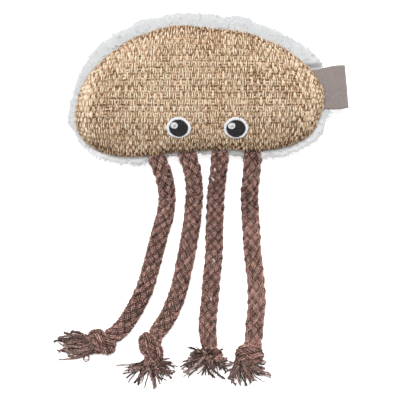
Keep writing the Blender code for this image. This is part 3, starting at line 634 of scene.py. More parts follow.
def fan(store, f, seed):
    """Yarns that leave the knot together, part into their plies and end at the tips."""
    rng = np.random.default_rng(seed)
    root, way = np.array(f["root"]), unit(np.array(f["way"]))
    cross = unit(np.cross(way, [0, 0, 1.0])) if abs(way[2]) < 0.85 else np.array([1.0, 0, 0])
    lift = np.cross(cross, way)
    matted = f.get("matted", 0.0)
    tips = list(f["tips"]) + [None] * f.get("extra", 8)
    for i, tip in enumerate(tips):
        if tip is None:
            tip = np.array(f["tips"][rng.integers(len(f["tips"]))], float)
            tip[:2] = root[:2] + (tip[:2] - root[:2]) * rng.uniform(0.45, 0.95) + rng.normal(0, 1.5 if matted else 0.65, 2)
        tip = np.array(tip, float)
        a, q = rng.uniform(0, TAU), rng.uniform(0.1, 1.0) ** 0.5
        start = root + cross * math.cos(a) * q * f["spread"] * 0.75 + lift * math.sin(a) * q * f["spread"] * 0.6 - way * 2.0
        end = np.array([tip[0], tip[1], tip[2] + rng.uniform(-0.6, 0.3) if len(tip) > 2 else rng.uniform(0.5, 0.35 * f["height"])])
        if matted:
            # a mat keeps its width: a strand starts level with where it ends
            start = root + cross * np.clip((end - root) @ cross * rng.uniform(0.5, 0.95) + rng.normal(0, 0.8), -5.2, 5.2) - way * 1.5
            start[2] = rng.uniform(2.0, f["height"])
            end[2] = rng.uniform(0.6, f["height"] * 0.7)
        reach = np.linalg.norm(end[:2] - start[:2])
        one = start + way * rng.uniform(0.25, 0.45) * reach + np.array([0, 0, rng.uniform(0.0, 1.2)])
        two = end + (start - end) * rng.uniform(0.25, 0.4) + rng.normal(0, 0.10, 3) * reach
        two[2] = tip[2] + 0.9 if len(tip) > 2 else rng.uniform(0.8, f["height"] * 0.85)
        n = 28
        s = np.linspace(0, 1, n)
        c = s[:, None]
        line = (1 - c) ** 3 * start + 3 * (1 - c) ** 2 * c * one + 3 * (1 - c) * c * c * two + c ** 3 * end
        curl = ease(s * 1.6)
        at = arc(line)
        wave = rng.uniform(2.2, 4.6)
        for axis, amount in ((0, 0.95), (1, 0.95), (2, 0.45)):
            line[:, axis] += amount * (1 + 0.6 * matted) * curl * noise.line(at / wave + rng.uniform(0, 30), rng.uniform(0, 30))
        plies = 2 if rng.uniform() < 0.55 else 3
        split = rng.uniform(0.25, 0.9) if rng.uniform() < 0.6 else 0.97
        thick = rng.uniform(0.24, 0.37) * (1.12 if plies == 2 else 0.95)
        t = unit(np.gradient(line, axis=0))
        nrm = carried(t)
        side = np.cross(t, nrm)
        turn0, rate = rng.uniform(0, TAU), TAU / rng.uniform(3.4, 5.0)
        tone = np.clip(rng.normal(f.get("tone", 0.50), 0.32), 0.0, 1.1)
        for m in range(plies):
            open_ = ease((s - split) / max(1.02 - split, 0.1))
            turn = turn0 + TAU * m / plies + rate * np.minimum(at, at[int(split * (n - 1))]) + 0.6 * rng.normal() * open_
            off = thick * 0.9 + open_ * rng.uniform(0.3, 1.1) * (1 - 0.4 * matted)
            ply = line + (side * np.cos(turn)[:, None] + nrm * (np.sin(turn) * (1 - 0.5 * open_))[:, None]) * off[:, None]
            for axis in (0, 1, 2):
                ply[:, axis] += 0.32 * open_ * noise.line(at / 1.6 + rng.uniform(0, 30), rng.uniform(0, 30))
            ply[:, 2] = np.maximum(ply[:, 2], 0.45)
            count = int(n - rng.integers(0, 5) * (split < 0.9))
            size = thick * (1.0 - 0.18 * open_[:count]) * (1 + 0.14 * noise.line(at[:count] / 1.1, m + 3 * i))
            # painted shade: each yarn's tone is painted darker towards its root in the knot, by an amount set per fan,
            # and under=0.4 paints shade on its underside
            store.sweep(ply[:count], size, 4, tone=tone + rng.normal(0, 0.12) - f.get("root_painted_shade", 0.36) * (1 - ease(s[:count] * 2.2)), under=0.4, up=np.array([0.0, 0.0, 1.0]) if matted else None)
    for points, radius, tone in f.get("locks", ()):
        # a lock of straight fibres with its own course
        line = evenly(spline(points, False, 10), 30)
        for m in range(3):
            shift = rng.normal(0, 0.22, 3)
            at = arc(line)
            wob = np.stack([noise.line(at / 2.0 + m, m + k) for k in range(3)], 1) * 0.16
            ply = line + shift + wob
            ply[:, 2] = np.maximum(ply[:, 2], 0.4)
            store.sweep(ply, radius, 4, tone=tone + rng.normal(0, 0.06))


for k, (name, f) in enumerate(FANS.items()):
    store = Mesh()
    fan(store, f, 700 + k)
    store.make(name + "_frayed_end", FRAY)
    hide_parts(name + "_tassel")

# ================================================================ the bell's outline
BELL = [
    (-59.8, -11.5, 4.2), (-58.3, -1.6, 3.4), (-53.8, 7.3, 4.7), (-45.9, 15.7, 7.0), (-35.6, 23.6, 6.1),
    (-23.2, 29.3, 6.8), (-8.4, 32.5, 6.4), (6.4, 31.2, 7.4), (21.3, 29.5, 7.6), (32.1, 25.8, 6.9),
    (43.0, 21.1, 6.6), (51.9, 14.2, 7.8), (58.3, 6.8, 6.4), (62.3, -2.0, 4.6), (60.8, -11.5, 4.2),
    (57.3, -19.9, 3.8), (50.9, -24.8, 3.6), (41.0, -28.6, 4.0), (28.7, -30.0, 2.4), (13.9, -29.3, 2.3),
    (1.5, -29.8, 1.4), (-10.9, -30.8, 1.2), (-23.2, -32.5, 2.0), (-35.6, -32.8, 3.4), (-45.9, -30.5, 2.6),
    (-53.8, -25.8, 3.2), (-58.3, -19.9, 2.9),
]
FRONT_TOP = 42.0


class Bell:
    def __init__(self, around):
        b = evenly(spline(BELL, True, 24), around, True, by=2)
        self.edge, self.pile = b[:, :2], b[:, 2]
        span = max(1, around // 120)
        t = unit(np.roll(self.edge, -span, 0) - np.roll(self.edge, span, 0))
        self.out = np.column_stack([-t[:, 1], t[:, 0]])
        self.spine = np.column_stack([0.5 * self.edge[:, 0], np.zeros(around)])
        self.around = around

    def rows(self, profile, pile_noise=None):
        """Rings from (share, offset, offset per pile, height) rows."""
        out = []
        for s, off, per, z in profile:
            xy = self.spine + s * (self.edge - self.spine) + self.out * (off + per * self.pile)[:, None] if per else self.spine + s * (self.edge - self.spine) + self.out * off
            out.append(np.column_stack([xy, np.full(self.around, z)]))
        return np.array(out)


CROWN = [
    (0.0, 0.0, 42.05), (0.16, 0.0, 42.0), (0.38, 0.0, 41.1), (0.56, 0.0, 39.1), (0.72, 0.0, 36.0), (0.85, 0.0, 32.0),
    (0.945, 0.0, 27.4), (1.0, 0.0, 22.8), (1.0, -0.2, 19.9), (1.0, -0.7, 18.2),
]


def crown_profile(count):
    fine = spline(CROWN, False, 24)
    fine[:, 0] = np.clip(fine[:, 0], 0.0, 1.0)
    flat = fine[:, 0] * 30.0 + fine[:, 1]
    length = np.concatenate([[0.0], np.cumsum(np.hypot(np.diff(flat), np.diff(fine[:, 2])))])
    at = np.linspace(0, length[-1], count)
    rows = np.stack([np.interp(at, length, fine[:, k]) for k in range(3)], 1)
    extra = at - (rows[:, 0] * 30.0 + rows[:, 1])
    return rows, np.maximum.accumulate(np.maximum(extra, 0.0))


bell = Bell(360)
profile, extra = crown_profile(56)
crown = bell.rows([(s, off, 0.0, z) for s, off, z in profile])


def puff(xyz):
    """Slow unevenness of the stuffing under the cloth."""
    out = 0.55 * noise.rough(xyz / np.array([17.0, 15.0, 30.0]) + 3.3, 2)
    return out


def normals_of(grid, top=False):
    du = np.roll(grid, -1, 1) - np.roll(grid, 1, 1)
    dv = np.gradient(grid, axis=0)
    n = np.cross(dv, du)
    n = unit(n)
    if n[..., 2].mean() < 0:
        n = -n
    if top:
        n[0] = (0.0, 0.0, 1.0)
    return n




def swell():
    """How the woven front swells when the bell is filled: a Cloth simulation of a coarse copy that is held at the seam.
    Returns where the copy's points start and how far each one moves, in millimetres."""
    coarse = Bell(120)
    rows, _ = crown_profile(20)
    under = [(1.0, 0.4, 0.0, 16.0), (1.0, 0.4, 0.0, 11.0), (0.90, 0.0, 0.0, 4.6), (0.6, 0.0, 0.0, 0.6)]
    rings = coarse.rows([(s, off, 0.0, z) for s, off, z in rows[1:]] + under)
    n, cols = rings.shape[:2]
    faces = [(i * cols + j, i * cols + (j + 1) % cols, (i + 1) * cols + (j + 1) % cols, (i + 1) * cols + j) for i in range(n - 1) for j in range(cols)]
    faces += [tuple(reversed(range(cols))), tuple(range((n - 1) * cols, n * cols))]
    shape = bpy.data.meshes.new("cushion_shape")
    shape.from_pydata((rings.reshape(-1, 3) * MM).tolist(), [], faces)
    cushion = bpy.data.objects.new("cushion", shape)
    scene.collection.objects.link(cushion)
    remesh = cushion.modifiers.new("remesh", "REMESH")
    remesh.mode = "VOXEL"
    remesh.voxel_size = 0.0048
    deps = bpy.context.evaluated_depsgraph_get()
    even = bpy.data.meshes.new_from_object(cushion.evaluated_get(deps))
    cushion.modifiers.clear()
    cushion.data = even
    start = np.empty(len(even.vertices) * 3, np.float32)
    even.vertices.foreach_get("co", start)
    start = start.reshape(-1, 3).astype(float) / MM
    held = cushion.vertex_groups.new(name="seam")
    for v, z in enumerate(start[:, 2]):
        share = float(ease((24.5 - z) / 6.0))
        if share > 0:
            held.add([v], share, "REPLACE")
    cloth_made = cushion.modifiers.new("cloth", "CLOTH")
    set_to = cloth_made.settings
    set_to.quality = 6
    set_to.mass = 0.15
    set_to.tension_stiffness = set_to.compression_stiffness = 25.0
    set_to.shear_stiffness = 12.0
    set_to.bending_stiffness = 3.0
    set_to.vertex_group_mass = "seam"
    set_to.use_pressure = True
    set_to.uniform_pressure_force = 4.0
    set_to.shrink_min = -0.03
    set_to.effector_weights.gravity = 0.0
    cloth_made.collision_settings.use_collision = False
    cloth_made.point_cache.frame_start, cloth_made.point_cache.frame_end = 1, 20
    for f in range(1, 21):
        scene.frame_set(f)
    after = cushion.evaluated_get(bpy.context.evaluated_depsgraph_get()).to_mesh()
    end = np.empty(len(start) * 3, np.float32)
    after.vertices.foreach_get("co", end)
    end = end.reshape(-1, 3).astype(float) / MM
    cushion.modifiers.clear()
    bpy.data.objects.remove(cushion)
    bpy.data.meshes.remove(even)
    bpy.data.meshes.remove(shape)
    scene.frame_set(1)
    return start, end - start


normals = normals_of(crown, True)
first, first_normals = crown.copy(), normals.copy()
start, moved = swell()
tree = KDTree(len(start))
for index, point in enumerate(start.tolist()):
    tree.insert(point, index)
tree.balance()
flat_crown = crown.reshape(-1, 3)
push = np.zeros(len(flat_crown))
for index, point in enumerate(flat_crown.tolist()):
    near = tree.find_n(point, 8)
    share = np.array([1.0 / (d + 1.2) ** 2 for _, _, d in near])
    push[index] = (moved[[k for _, k, _ in near]].T @ share / share.sum()) @ normals.reshape(-1, 3)[index]
push = push.reshape(crown.shape[:2])
# the copy starts smaller by what it gains on average, and no point goes far
free = ease((crown[..., 2] - 19.0) / 4.0)
push = np.clip(0.5 * (push - push[free > 0.9].mean()), -0.28 * ease((crown[..., 2] - 24.0) / 6.0), 0.6) * free
crown = crown + normals * push[..., None]
normals = normals_of(crown, True)
# the yarns stand a millimetre proud of the grid, so the grid lies a millimetre inside the panel
shift = -0.88 + puff(crown) * (0.35 + 0.65 * (1 - ease((crown[..., 2] - 34.0) / 8.0)) * (crown[..., 2] > 20.5))
# the cloth is drawn in where a rope's root is sewn under it
for rx, ry in ((-19.6, -31.6), (-4.9, -30.4), (11.4, -29.6), (27.6, -29.8)):
    near = np.exp(-(((crown[..., 0] - rx) / 6.0) ** 2 + ((crown[..., 1] - ry) / 4.0) ** 2))
    shift = shift - 0.5 * near
# the cloth stays clear of the filling below it
depth = ((crown - first) * first_normals).sum(-1) + shift
low = np.minimum(depth + 0.75, 0.0)
shift = shift + (low / (1 - low / 0.35) - low)
crown = crown + normals * shift[..., None]
normals = normals_of(crown, True)
cloth = crown[..., :2] + bell.out[None] * extra[:, None, None]  # the same points on the cloth laid flat


class Lookup:
    """Finds the place on the bell for points of the flat cloth, or the surface below points seen from above."""

    def __init__(self, flat, grid, nrm):
        rows, cols = flat.shape[:2]
        i = np.arange(rows - 1)[:, None] * cols
        j = np.arange(cols)[None]
        k = (j + 1) % cols
        a, b, c, d = i + j, i + k, i + cols + k, i + cols + j
        self.tri = np.vstack([np.stack([a, b, c], -1).reshape(-1, 3), np.stack([a, c, d], -1).reshape(-1, 3)])
        self.flat = flat.reshape(-1, 2)
        self.grid = grid.reshape(-1, 3)
        self.nrm = nrm.reshape(-1, 3)
        self.tree = BVHTree.FromPolygons([(x, y, 0.0) for x, y in self.flat.tolist()], self.tri.tolist(), all_triangles=True)

    def __call__(self, pq):
        pq = np.asarray(pq, float)
        down = Vector((0, 0, -1))
        index = np.full(len(pq), -1)
        for n, (x, y) in enumerate(pq.tolist()):
            hit = self.tree.ray_cast(Vector((x, y, 1.0)), down)
            if hit[2] is not None:
                index[n] = hit[2]
        ok = index >= 0
        t = self.tri[np.maximum(index, 0)]
        a, b, c = self.flat[t[:, 0]], self.flat[t[:, 1]], self.flat[t[:, 2]]
        v0, v1, v2 = b - a, c - a, pq - a
        den = v0[:, 0] * v1[:, 1] - v1[:, 0] * v0[:, 1]
        den = np.where(np.abs(den) < 1e-12, 1e-12, den)
        u = (v2[:, 0] * v1[:, 1] - v1[:, 0] * v2[:, 1]) / den
        w = (v0[:, 0] * v2[:, 1] - v2[:, 0] * v0[:, 1]) / den
        weights = np.clip(np.stack([1 - u - w, u, w], 1), 0, 1)
        weights /= weights.sum(1, keepdims=True)
        at = (self.grid[t] * weights[..., None]).sum(1)
        nr = unit((self.nrm[t] * weights[..., None]).sum(1))
        return ok, at, nr


on_cloth = Lookup(cloth, crown, normals)
upper = profile[:, 0] < 0.9995
seen = Lookup(crown[upper][..., :2], crown[upper], normals[upper])

# ================================================================ woven cloth
EYES = {"left": (-9.0, -18.2), "right": (19.1, -18.3)}


def eye_press(xyz):
    """How much of its height the weave keeps: it is flattened under the embroidery."""
    keep = np.ones(len(xyz))
    for ex, ey in EYES.values():
        r = np.hypot((xyz[:, 0] - ex) / 5.9, (xyz[:, 1] - ey) / 5.2)
        keep = np.minimum(keep, ease((r - 0.98) / 0.14))
    return keep


def weave_material(name, dark, mid, light, pale):
    m = Nodes(name, mid, 0.95, sheen=0.04, sheen_colour=(1.0, 0.86, 0.7), specular=0.06)
    tone = m.attribute("tone")
    grain = m.noise(0.85, 3.0)
    fine = m.noise(1.0, 2.0, vector=m.place(3.6, 1.2, 2.2))
    value = m.math("ADD", tone, m.math("MULTIPLY", m.math("SUBTRACT", grain, 0.5), 1.0))
    value = m.math("ADD", value, m.math("MULTIPLY", m.math("SUBTRACT", fine, 0.5), 2.0))
    m.colour(m.ramp(value, [(0.0, dark), (0.33, mid), (0.66, light), (1.0, pale)]))
    m.bump(m.math("ADD", m.noise(7.0, 1.0), m.math("MULTIPLY", fine, 0.9)), 0.14, 0.9)
    return m.material


WEAVE = weave_material("beige_yarn", linear(88, 58, 32), linear(180, 145, 112), linear(232, 201, 168), linear(253, 238, 214))

PITCH = 1.56  # between warp yarns
ROW = 3.12  # between rows of weft
warps, weft = Mesh(), Mesh()
wrng = np.random.default_rng(5)


def rim_shade(xyz):
    """The cloth is painted darker in the last millimetres before the seam, at its far edge, its sides and its near
    edge: partly the browner edge of the cloth, partly painted shade where the bell turns down.
    """
    return 0.34 * ease((31.5 - xyz[:, 2]) / 9.0) + 0.15 * ease((xyz[:, 1] - 12.0) / 16.0) + 0.10 * ease((np.abs(xyz[:, 0]) - 34.0) / 14.0) + 0.08 * ease((-14.0 - xyz[:, 1]) / 8.0)


def runs_of(ok, least=6):
    good = np.flatnonzero(ok)
    return [run for run in np.split(good, np.flatnonzero(np.diff(good) > 1) + 1) if len(run) >= least]


step = 0.56
lines, marks = [], []
for i in range(-50, 51):
    q = np.arange(-50.0, 50.0, step)
    p = i * PITCH + 0.34 * noise.line(q / 14.0, i * 0.31) + 0.24 * noise.line(q / 3.4, i + 0.5) + wrng.normal(0, 0.08)
    lines.append(np.column_stack([p, q]))
    marks.append(i)
ok, at, nr = on_cloth(np.vstack(lines))
size = len(lines[0])
for n, i in enumerate(marks):
    part = slice(n * size, (n + 1) * size)
    of_line = wrng.normal(0, 0.035)
    rnd_row = wrng.normal(0, 1, 90)
    turn0 = wrng.normal(0, 0.4)
    shift_q = wrng.normal(0, 0.24)
    for run in runs_of(ok[part]):
        q = lines[n][run, 1]
        xyz, up = at[part][run], nr[part][run]
        phase = math.pi * ((q + shift_q + 0.60 * noise.line(q / 4.6, i + 300)) / ROW + i)
        wave = np.cos(phase + 0.30 * np.sin(phase)) + 0.60
        row = np.round(q / ROW).astype(int)
        over = (row + i) % 2 == 0
        rnd = rnd_row[np.clip(row + 40, 0, 89)] * over
        keep = eye_press(xyz)
        lift = (0.48 * wave / np.sqrt(0.60 + 0.40 * wave ** 2) + 0.09 * rnd) * keep - 0.35 * (1 - keep)
        rad = (0.60 + 0.27 * wave + 0.05 * rnd + 0.07 * noise.line(q / 1.9, i + 40)) * (0.72 + 0.28 * keep)
        # painted shade: 0.17 * wave paints each float lighter where it rides up and darker where it dives under the
        # weft, and rim_shade paints shade near the seam
        tone = 0.84 + of_line + 0.07 * rnd + 0.17 * wave + 0.10 * noise(xyz / 7.0) - rim_shade(xyz)
        t = unit(np.gradient(xyz, axis=0))
        side = unit(np.cross(t, up))
        turn = turn0 + 1.15 * noise.line(q / 3.6, i + 7)
        for ply in (0, 1):
            a = turn + math.pi * ply
            mid_ply = xyz + up * (lift + 0.30 * rad * np.sin(a))[:, None] + side * (0.60 * rad * np.cos(a) + 0.10 * noise.line(q / 1.7, 2 * i + ply + 500))[:, None]
            thick = rad * (0.57 + 0.08 * noise.line(q / 1.3, 2 * i + ply + 700))
            # painted shade: 0.06 * sin(a) paints the upper ply lighter and the lower one darker
            shade = tone + wrng.normal(0, 0.10) + 0.14 * noise.line(q / 2.1, 2 * i + ply + 900) + 0.06 * np.sin(a)
            # under the weft it doesn't show
            for seen_part in runs_of(wave > -0.20, 4):
                # under=0.62 paints shade on each ply's underside
                warps.sweep(mid_ply[seen_part], thick[seen_part], 3, up=up[seen_part], flat=0.95, tone=shade[seen_part], spin=math.pi / 2, under=0.62)
step = PITCH / 2
lines, marks = [], []
for j in range(-17, 18):
    for half in (-1, 1):
        p = np.arange(-100, 101) * step
        q = j * ROW + half * 0.72 + 0.36 * noise.line(p / 15.0, j * 0.43 + 90) + 0.24 * noise.line(p / 2.6, j * 2 + half + 70)
        lines.append(np.column_stack([p, q]))
        marks.append(j)
ok, at, nr = on_cloth(np.vstack(lines))
size = len(lines[0])
for n, j in enumerate(marks):
    part = slice(n * size, (n + 1) * size)
    base = wrng.normal(0.0, 0.06)
    for run in runs_of(ok[part]):
        p = lines[n][run, 0]
        xyz, up = at[part][run], nr[part][run]
        wave = -np.cos(math.pi * (p / PITCH + j))
        keep = eye_press(xyz)
        lift = (0.17 * wave - 0.38) * keep - 0.42 * (1 - keep)
        rad = 0.80 + 0.06 * wave + 0.08 * noise.line(p / 2.7, n + 15)
        # painted shade: 0.12 * wave paints the weft lighter where it rides over a warp and darker where it dips under
        # one; rim_shade paints shade near the seam; under=0.40 paints shade on its underside
        tone = 0.30 + base + 0.18 * noise.line(p / 2.2, n + 55) + 0.12 * wave + 0.10 * noise(xyz / 7.0) - rim_shade(xyz)
        weft.sweep(xyz + up * lift[:, None], rad, 4, up=up, flat=0.78, tone=tone + 0.1, spin=math.pi / 2, under=0.40)
front_warp = warps.make("front_cloth_warp_yarns", WEAVE)
front_weft = weft.make("front_cloth_weft_yarns", WEAVE)


# The ground that the yarns lie on: the cloth's own thickness with the allowance turned in at the seam, painted dark
# brown as painted shade in the gaps between the yarns.
def ground():
    m = Nodes("beige_ground_painted_shade", linear(120, 90, 62), 1.0, specular=0.1)
    value = m.math("ADD", m.math("MULTIPLY", m.noise(0.9, 3.0), 0.6), m.math("MULTIPLY", m.noise(5.0, 2.0), 0.4))
    # painted shade: the ground is painted far darker than the yarns, as the shade between them
    m.colour(m.ramp(value, [(0.3, linear(84, 57, 34)), (0.6, linear(118, 88, 59)), (0.8, linear(146, 114, 81))]))
    m.bump(m.noise(4.0, 3.0), 0.2, 0.8)
    return m.material


GROUND_PAINTED_SHADE = ground()
b = Bell(180)
gp, _ = crown_profile(24)
outer = [(s, off, 0.0, z) for s, off, z in gp[:-2]] + [(1.0, -1.9, 0.0, 18.3), (1.0, -2.8, 0.0, 17.8), (1.0, -7.0, 0.0, 17.7)]
# it lies just under the yarns wherever they are
spread_of = KDTree(first[::2, ::3].reshape(-1, 3).shape[0])
for index, point in enumerate(first[::2, ::3].reshape(-1, 3).tolist()):
    spread_of.insert(point, index)
spread_of.balance()
under_by = np.clip(((crown - first) * first_normals).sum(-1) - 0.50, -1.52, 0.0)
moves = (first_normals * under_by[..., None])[::2, ::3].reshape(-1, 3)
inner = [(1.0, -7.0, 0.0, 18.9), (1.0, -3.6, 0.0, 19.1), (0.91, 0.0, 0.0, 22.0), (0.88, 0.0, 0.0, 26.0), (0.80, 0.0, 0.0, 30.0), (0.67, 0.0, 0.0, 33.8), (0.52, 0.0, 0.0, 36.6), (0.34, 0.0, 0.0, 38.7), (0.13, 0.0, 0.0, 39.6)]
rings = b.rows(outer + inner)
for row in range(len(gp) - 2):
    for col in range(b.around):
        near = spread_of.find_n(rings[row, col].tolist(), 3)
        rings[row, col] += np.mean([moves[k] for _, k, _ in near], axis=0)
base = Mesh()
uv = np.zeros((*rings.shape[:2], 2))
base.grid(rings[1:], uv[1:], tone=0.5, cap_first=True, cap_last=True)
front_base = base.make("front_cloth", GROUND_PAINTED_SHADE)
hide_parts("front_panel")


# ================================================================ plush back
def plush_material(name, ridged):
    m = Nodes(name, (0.74, 0.75, 0.76), 1.0, sheen=0.35, sheen_colour=(1.0, 1.0, 1.0), specular=0.1)
    soft = m.noise(0.30, 2.0)
    if ridged:
        u, v = m.uv()
        combed = m.node("ShaderNodeCombineXYZ", {0: m.math("MULTIPLY", u, 1.5), 1: m.math("MULTIPLY", v, 0.42), 2: 0.0}).outputs[0]
        streak = m.noise(1.0, 3.0, vector=combed, roughness=0.6)
        m.bump(m.math("ADD", streak, m.math("MULTIPLY", m.noise(1.3, 3.0), 0.5)), 0.22, 0.30)
    else:
        streak = m.attribute("tone")
    value = m.math("ADD", m.math("MULTIPLY", soft, 0.6), m.math("MULTIPLY", streak, 0.4))
    # painted light: a lighter and a greyer copy of the plush colour
    painted_light_near_ropes = m.ramp(value, [(0.3, (0.79, 0.80, 0.80)), (0.55, (0.84, 0.845, 0.85)), (0.75, (0.87, 0.87, 0.87))])
    grey = m.ramp(value, [(0.3, (0.535, 0.548, 0.560)), (0.55, (0.562, 0.575, 0.586)), (0.75, (0.588, 0.598, 0.606))])
    # painted light: the plush is painted lighter towards the ropes, where it lies in shade under the bell's edge, and
    # greyer on the far side, where the key light falls
    y = m.node("ShaderNodeSeparateXYZ", {0: m.place()}).outputs[1]
    share = m.node("ShaderNodeMapRange", {0: y, 1: -12.0, 2: -31.0, 3: 0.0, 4: 1.0}, clamp=True).outputs[0]
    plush_with_painted_light = m.mix(share, grey, painted_light_near_ropes)
    # the pile fibres are painted lighter still, to lift the shade among them
    m.colour(plush_with_painted_light if ridged else m.mix(0.62, plush_with_painted_light, (0.86, 0.865, 0.87)))
    return m.material


PLUSH = plush_material("white_plush", True)
PILE = plush_material("white_pile", False)
BACK = [
    (0.0, 0.0, 0.0, 0.0), (0.30, 0.0, 0.0, 0.0), (0.60, 0.0, 0.0, 0.02), (0.76, 0.0, 0.0, 1.3), (0.90, 0.0, 0.0, 4.6), (1.0, 0.0, 0.15, 8.6),
    (1.0, 0.0, 0.75, 12.0), (1.0, 0.0, 0.98, 14.6), (1.0, 0.0, 0.93, 16.6), (1.0, 0.1, 0.62, 18.3), (1.0, -0.2, 0.22, 18.9), (1.0, -0.7, 0.0, 18.6), (1.0, -1.2, 0.0, 17.4),
]
b = Bell(440)
fine = spline(BACK, False, 9)
fine[:, 0] = np.clip(fine[:, 0], 0, 1)
fine[:, 3] = np.maximum(fine[:, 3], 0.0)
fine = fine[1:]
rings = b.rows([tuple(r) for r in fine])
n3 = normals_of(rings)
n3 = np.where((n3 * np.concatenate([rings[..., :2] * 0.02, rings[..., 2:] - 16.0], -1)).sum(-1, keepdims=True) < -1e9, -n3, n3)
# outward is away from the bell's middle line
mid_line = np.column_stack([b.spine, np.full(b.around, 16.0)])
flip = ((rings - mid_line[None]) * n3).sum(-1, keepdims=True) < 0
n3 = np.where(flip, -n3, n3)
free = ease((rings[..., 2] - 0.3) / 4.0)
beside = ease((12.0 - np.abs(rings[..., 1] - 2.2)) / 3.2) * (rings[..., 0] > 50.0)
rings[..., 2] -= beside * np.maximum(rings[..., 2] - 13.0, 0.0) * 0.56
round_mm = arc(np.vstack([b.edge, b.edge[:1]]))[:-1]
crease = np.abs(noise(np.stack(np.broadcast_arrays(round_mm[None] / 5.0, rings[..., 2] / 7.0, 3.7), -1)))
tuft = 1.5 * (0.22 - crease) * ease((rings[..., 2] - 2.0) / 4.0) + 0.24 * noise.rough(rings / 3.4 + 1.7, 2) + 0.09 * noise(rings / 1.5 + 9.0) + 0.85 * noise(rings / np.array([7.4, 7.4, 9.0]) + 4.0)
rings = rings + n3 * (tuft * free * (1 - 0.8 * beside))[..., None]
rings[..., 2] = np.maximum(rings[..., 2], 0.0)
inner_rows = b.rows([(1.0, -3.9, 0.0, 16.9), (1.0, -4.1, 0.0, 12.4), (0.84, 0.0, 0.0, 8.4), (0.70, 0.0, 0.0, 5.4), (0.30, 0.0, 0.0, 4.2)])
plush = Mesh()
whole = np.concatenate([rings, inner_rows])
down_mm = np.concatenate([[0.0], np.cumsum(np.linalg.norm(np.diff(whole, axis=0), axis=2).mean(1))])
combing = np.stack(np.broadcast_arrays(round_mm[None], down_mm[:, None]), -1)
plush.grid(whole, combing, tone=0.5, cap_first=True, cap_last=True)
back = plush.make("back_plush", PLUSH)
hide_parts("back_panel")

# pile: fine fibres that lie along the plush in clumps and soften its outline
pile = Mesh()
prng = np.random.default_rng(21)
clumps = 820
rows_n, cols_n = rings.shape[:2]
area = np.linalg.norm(np.cross(np.gradient(rings, axis=0), (np.roll(rings, -1, 1) - np.roll(rings, 1, 1)) / 2), axis=-1)
rim = ease((rings[..., 2] - 9.5) / 3.0)
weight = area * (0.04 + 1.6 * rim)
weight[-10:] = 0
choice = prng.choice(rows_n * cols_n, size=clumps, p=(weight / weight.sum()).ravel())
for c in choice:
    i, j = divmod(int(c), cols_n)
    root, nr1 = rings[i, j], n3[i, j]
    away = np.array([b.out[j, 0], b.out[j, 1], -0.35])
    lie = away - nr1 * (away @ nr1)
    lean = unit(unit(lie + prng.normal(0, 0.22, 3)) * 0.95 + nr1 * prng.uniform(0.03, 0.14))
    length = prng.uniform(1.3, 2.2)
    tip = root + lean * length
    across = unit(np.cross(lean, nr1))
    shade = prng.uniform(0.3, 0.7)
    for _ in range(4):
        foot = root - nr1 * 0.12 + across * prng.normal(0, 0.50) + np.cross(across, nr1) * prng.normal(0, 0.45)
        end = tip + prng.normal(0, 0.16, 3)
        mid_pt = (foot + end) / 2 + nr1 * prng.uniform(0.05, 0.2)
        line = np.stack([foot, mid_pt, end])
        line[:, 2] = np.maximum(line[:, 2], 0.12)
        pile.sweep(line, np.array([0.17, 0.15, 0.06]), 3, up=nr1, tone=shade + prng.normal(0, 0.1))
pile_obj = pile.make("back_plush_pile", PILE)


# ================================================================ embroidered eyes
def thread_material(name, low, high, gloss=0.45):
    m = Nodes(name, high, gloss, sheen=0.1, specular=0.4)
    m.colour(m.ramp(m.math("ADD", m.math("MULTIPLY", m.noise(2.2, 3.0), 0.7), m.math("MULTIPLY", m.attribute("tone"), 0.3)), [(0.25, low), (0.7, high)]))
    m.bump(m.math("ADD", m.twist(2, 0.6), m.noise(7.0, 1.0)), 0.05, 0.8)
    return m.material


SILVER = thread_material("white_thread", linear(226, 227, 232), linear(252, 252, 253), 0.6)
INK = thread_material("black_thread", linear(3, 3, 4), linear(27, 27, 29), 0.6)
GREY = thread_material("grey_thread", linear(120, 122, 126), linear(176, 178, 182))


def on_front(x, y, lift):
    ok, at, nr = seen(np.column_stack([x, y]))
    return at + nr * np.reshape(lift, (-1, 1)), nr


erng = np.random.default_rng(3)


def satin_ring(store, cx, cy, outer, inner, lift, seed):
    rng = np.random.default_rng(seed)
    count = 84
    for n in range(count):
        a = TAU * n / count + rng.normal(0, 0.008)
        s = np.linspace(-0.02 + rng.normal(0, 0.05), 1.02 + rng.normal(0, 0.075), 8)
        slant = a + (s - 0.5) * 0.10
        rx = inner[0] + (outer[0] - inner[0]) * s
        ry = inner[1] + (outer[1] - inner[1]) * s
        # a hand-fed outline is never a true ellipse
        wobble = 1 + 0.018 * math.sin(3 * a + seed) + 0.012 * math.sin(7 * a + 2 * seed) + rng.normal(0, 0.006)
        hump = lift + 0.42 * np.sin(np.clip(s, 0, 1) * math.pi) ** 0.6 - 0.25
        at, nr = on_front(cx + rx * np.cos(slant) * wobble, cy + ry * np.sin(slant) * wobble, hump)
        store.sweep(at, 0.215, 5, up=nr, tone=rng.uniform(0, 1))


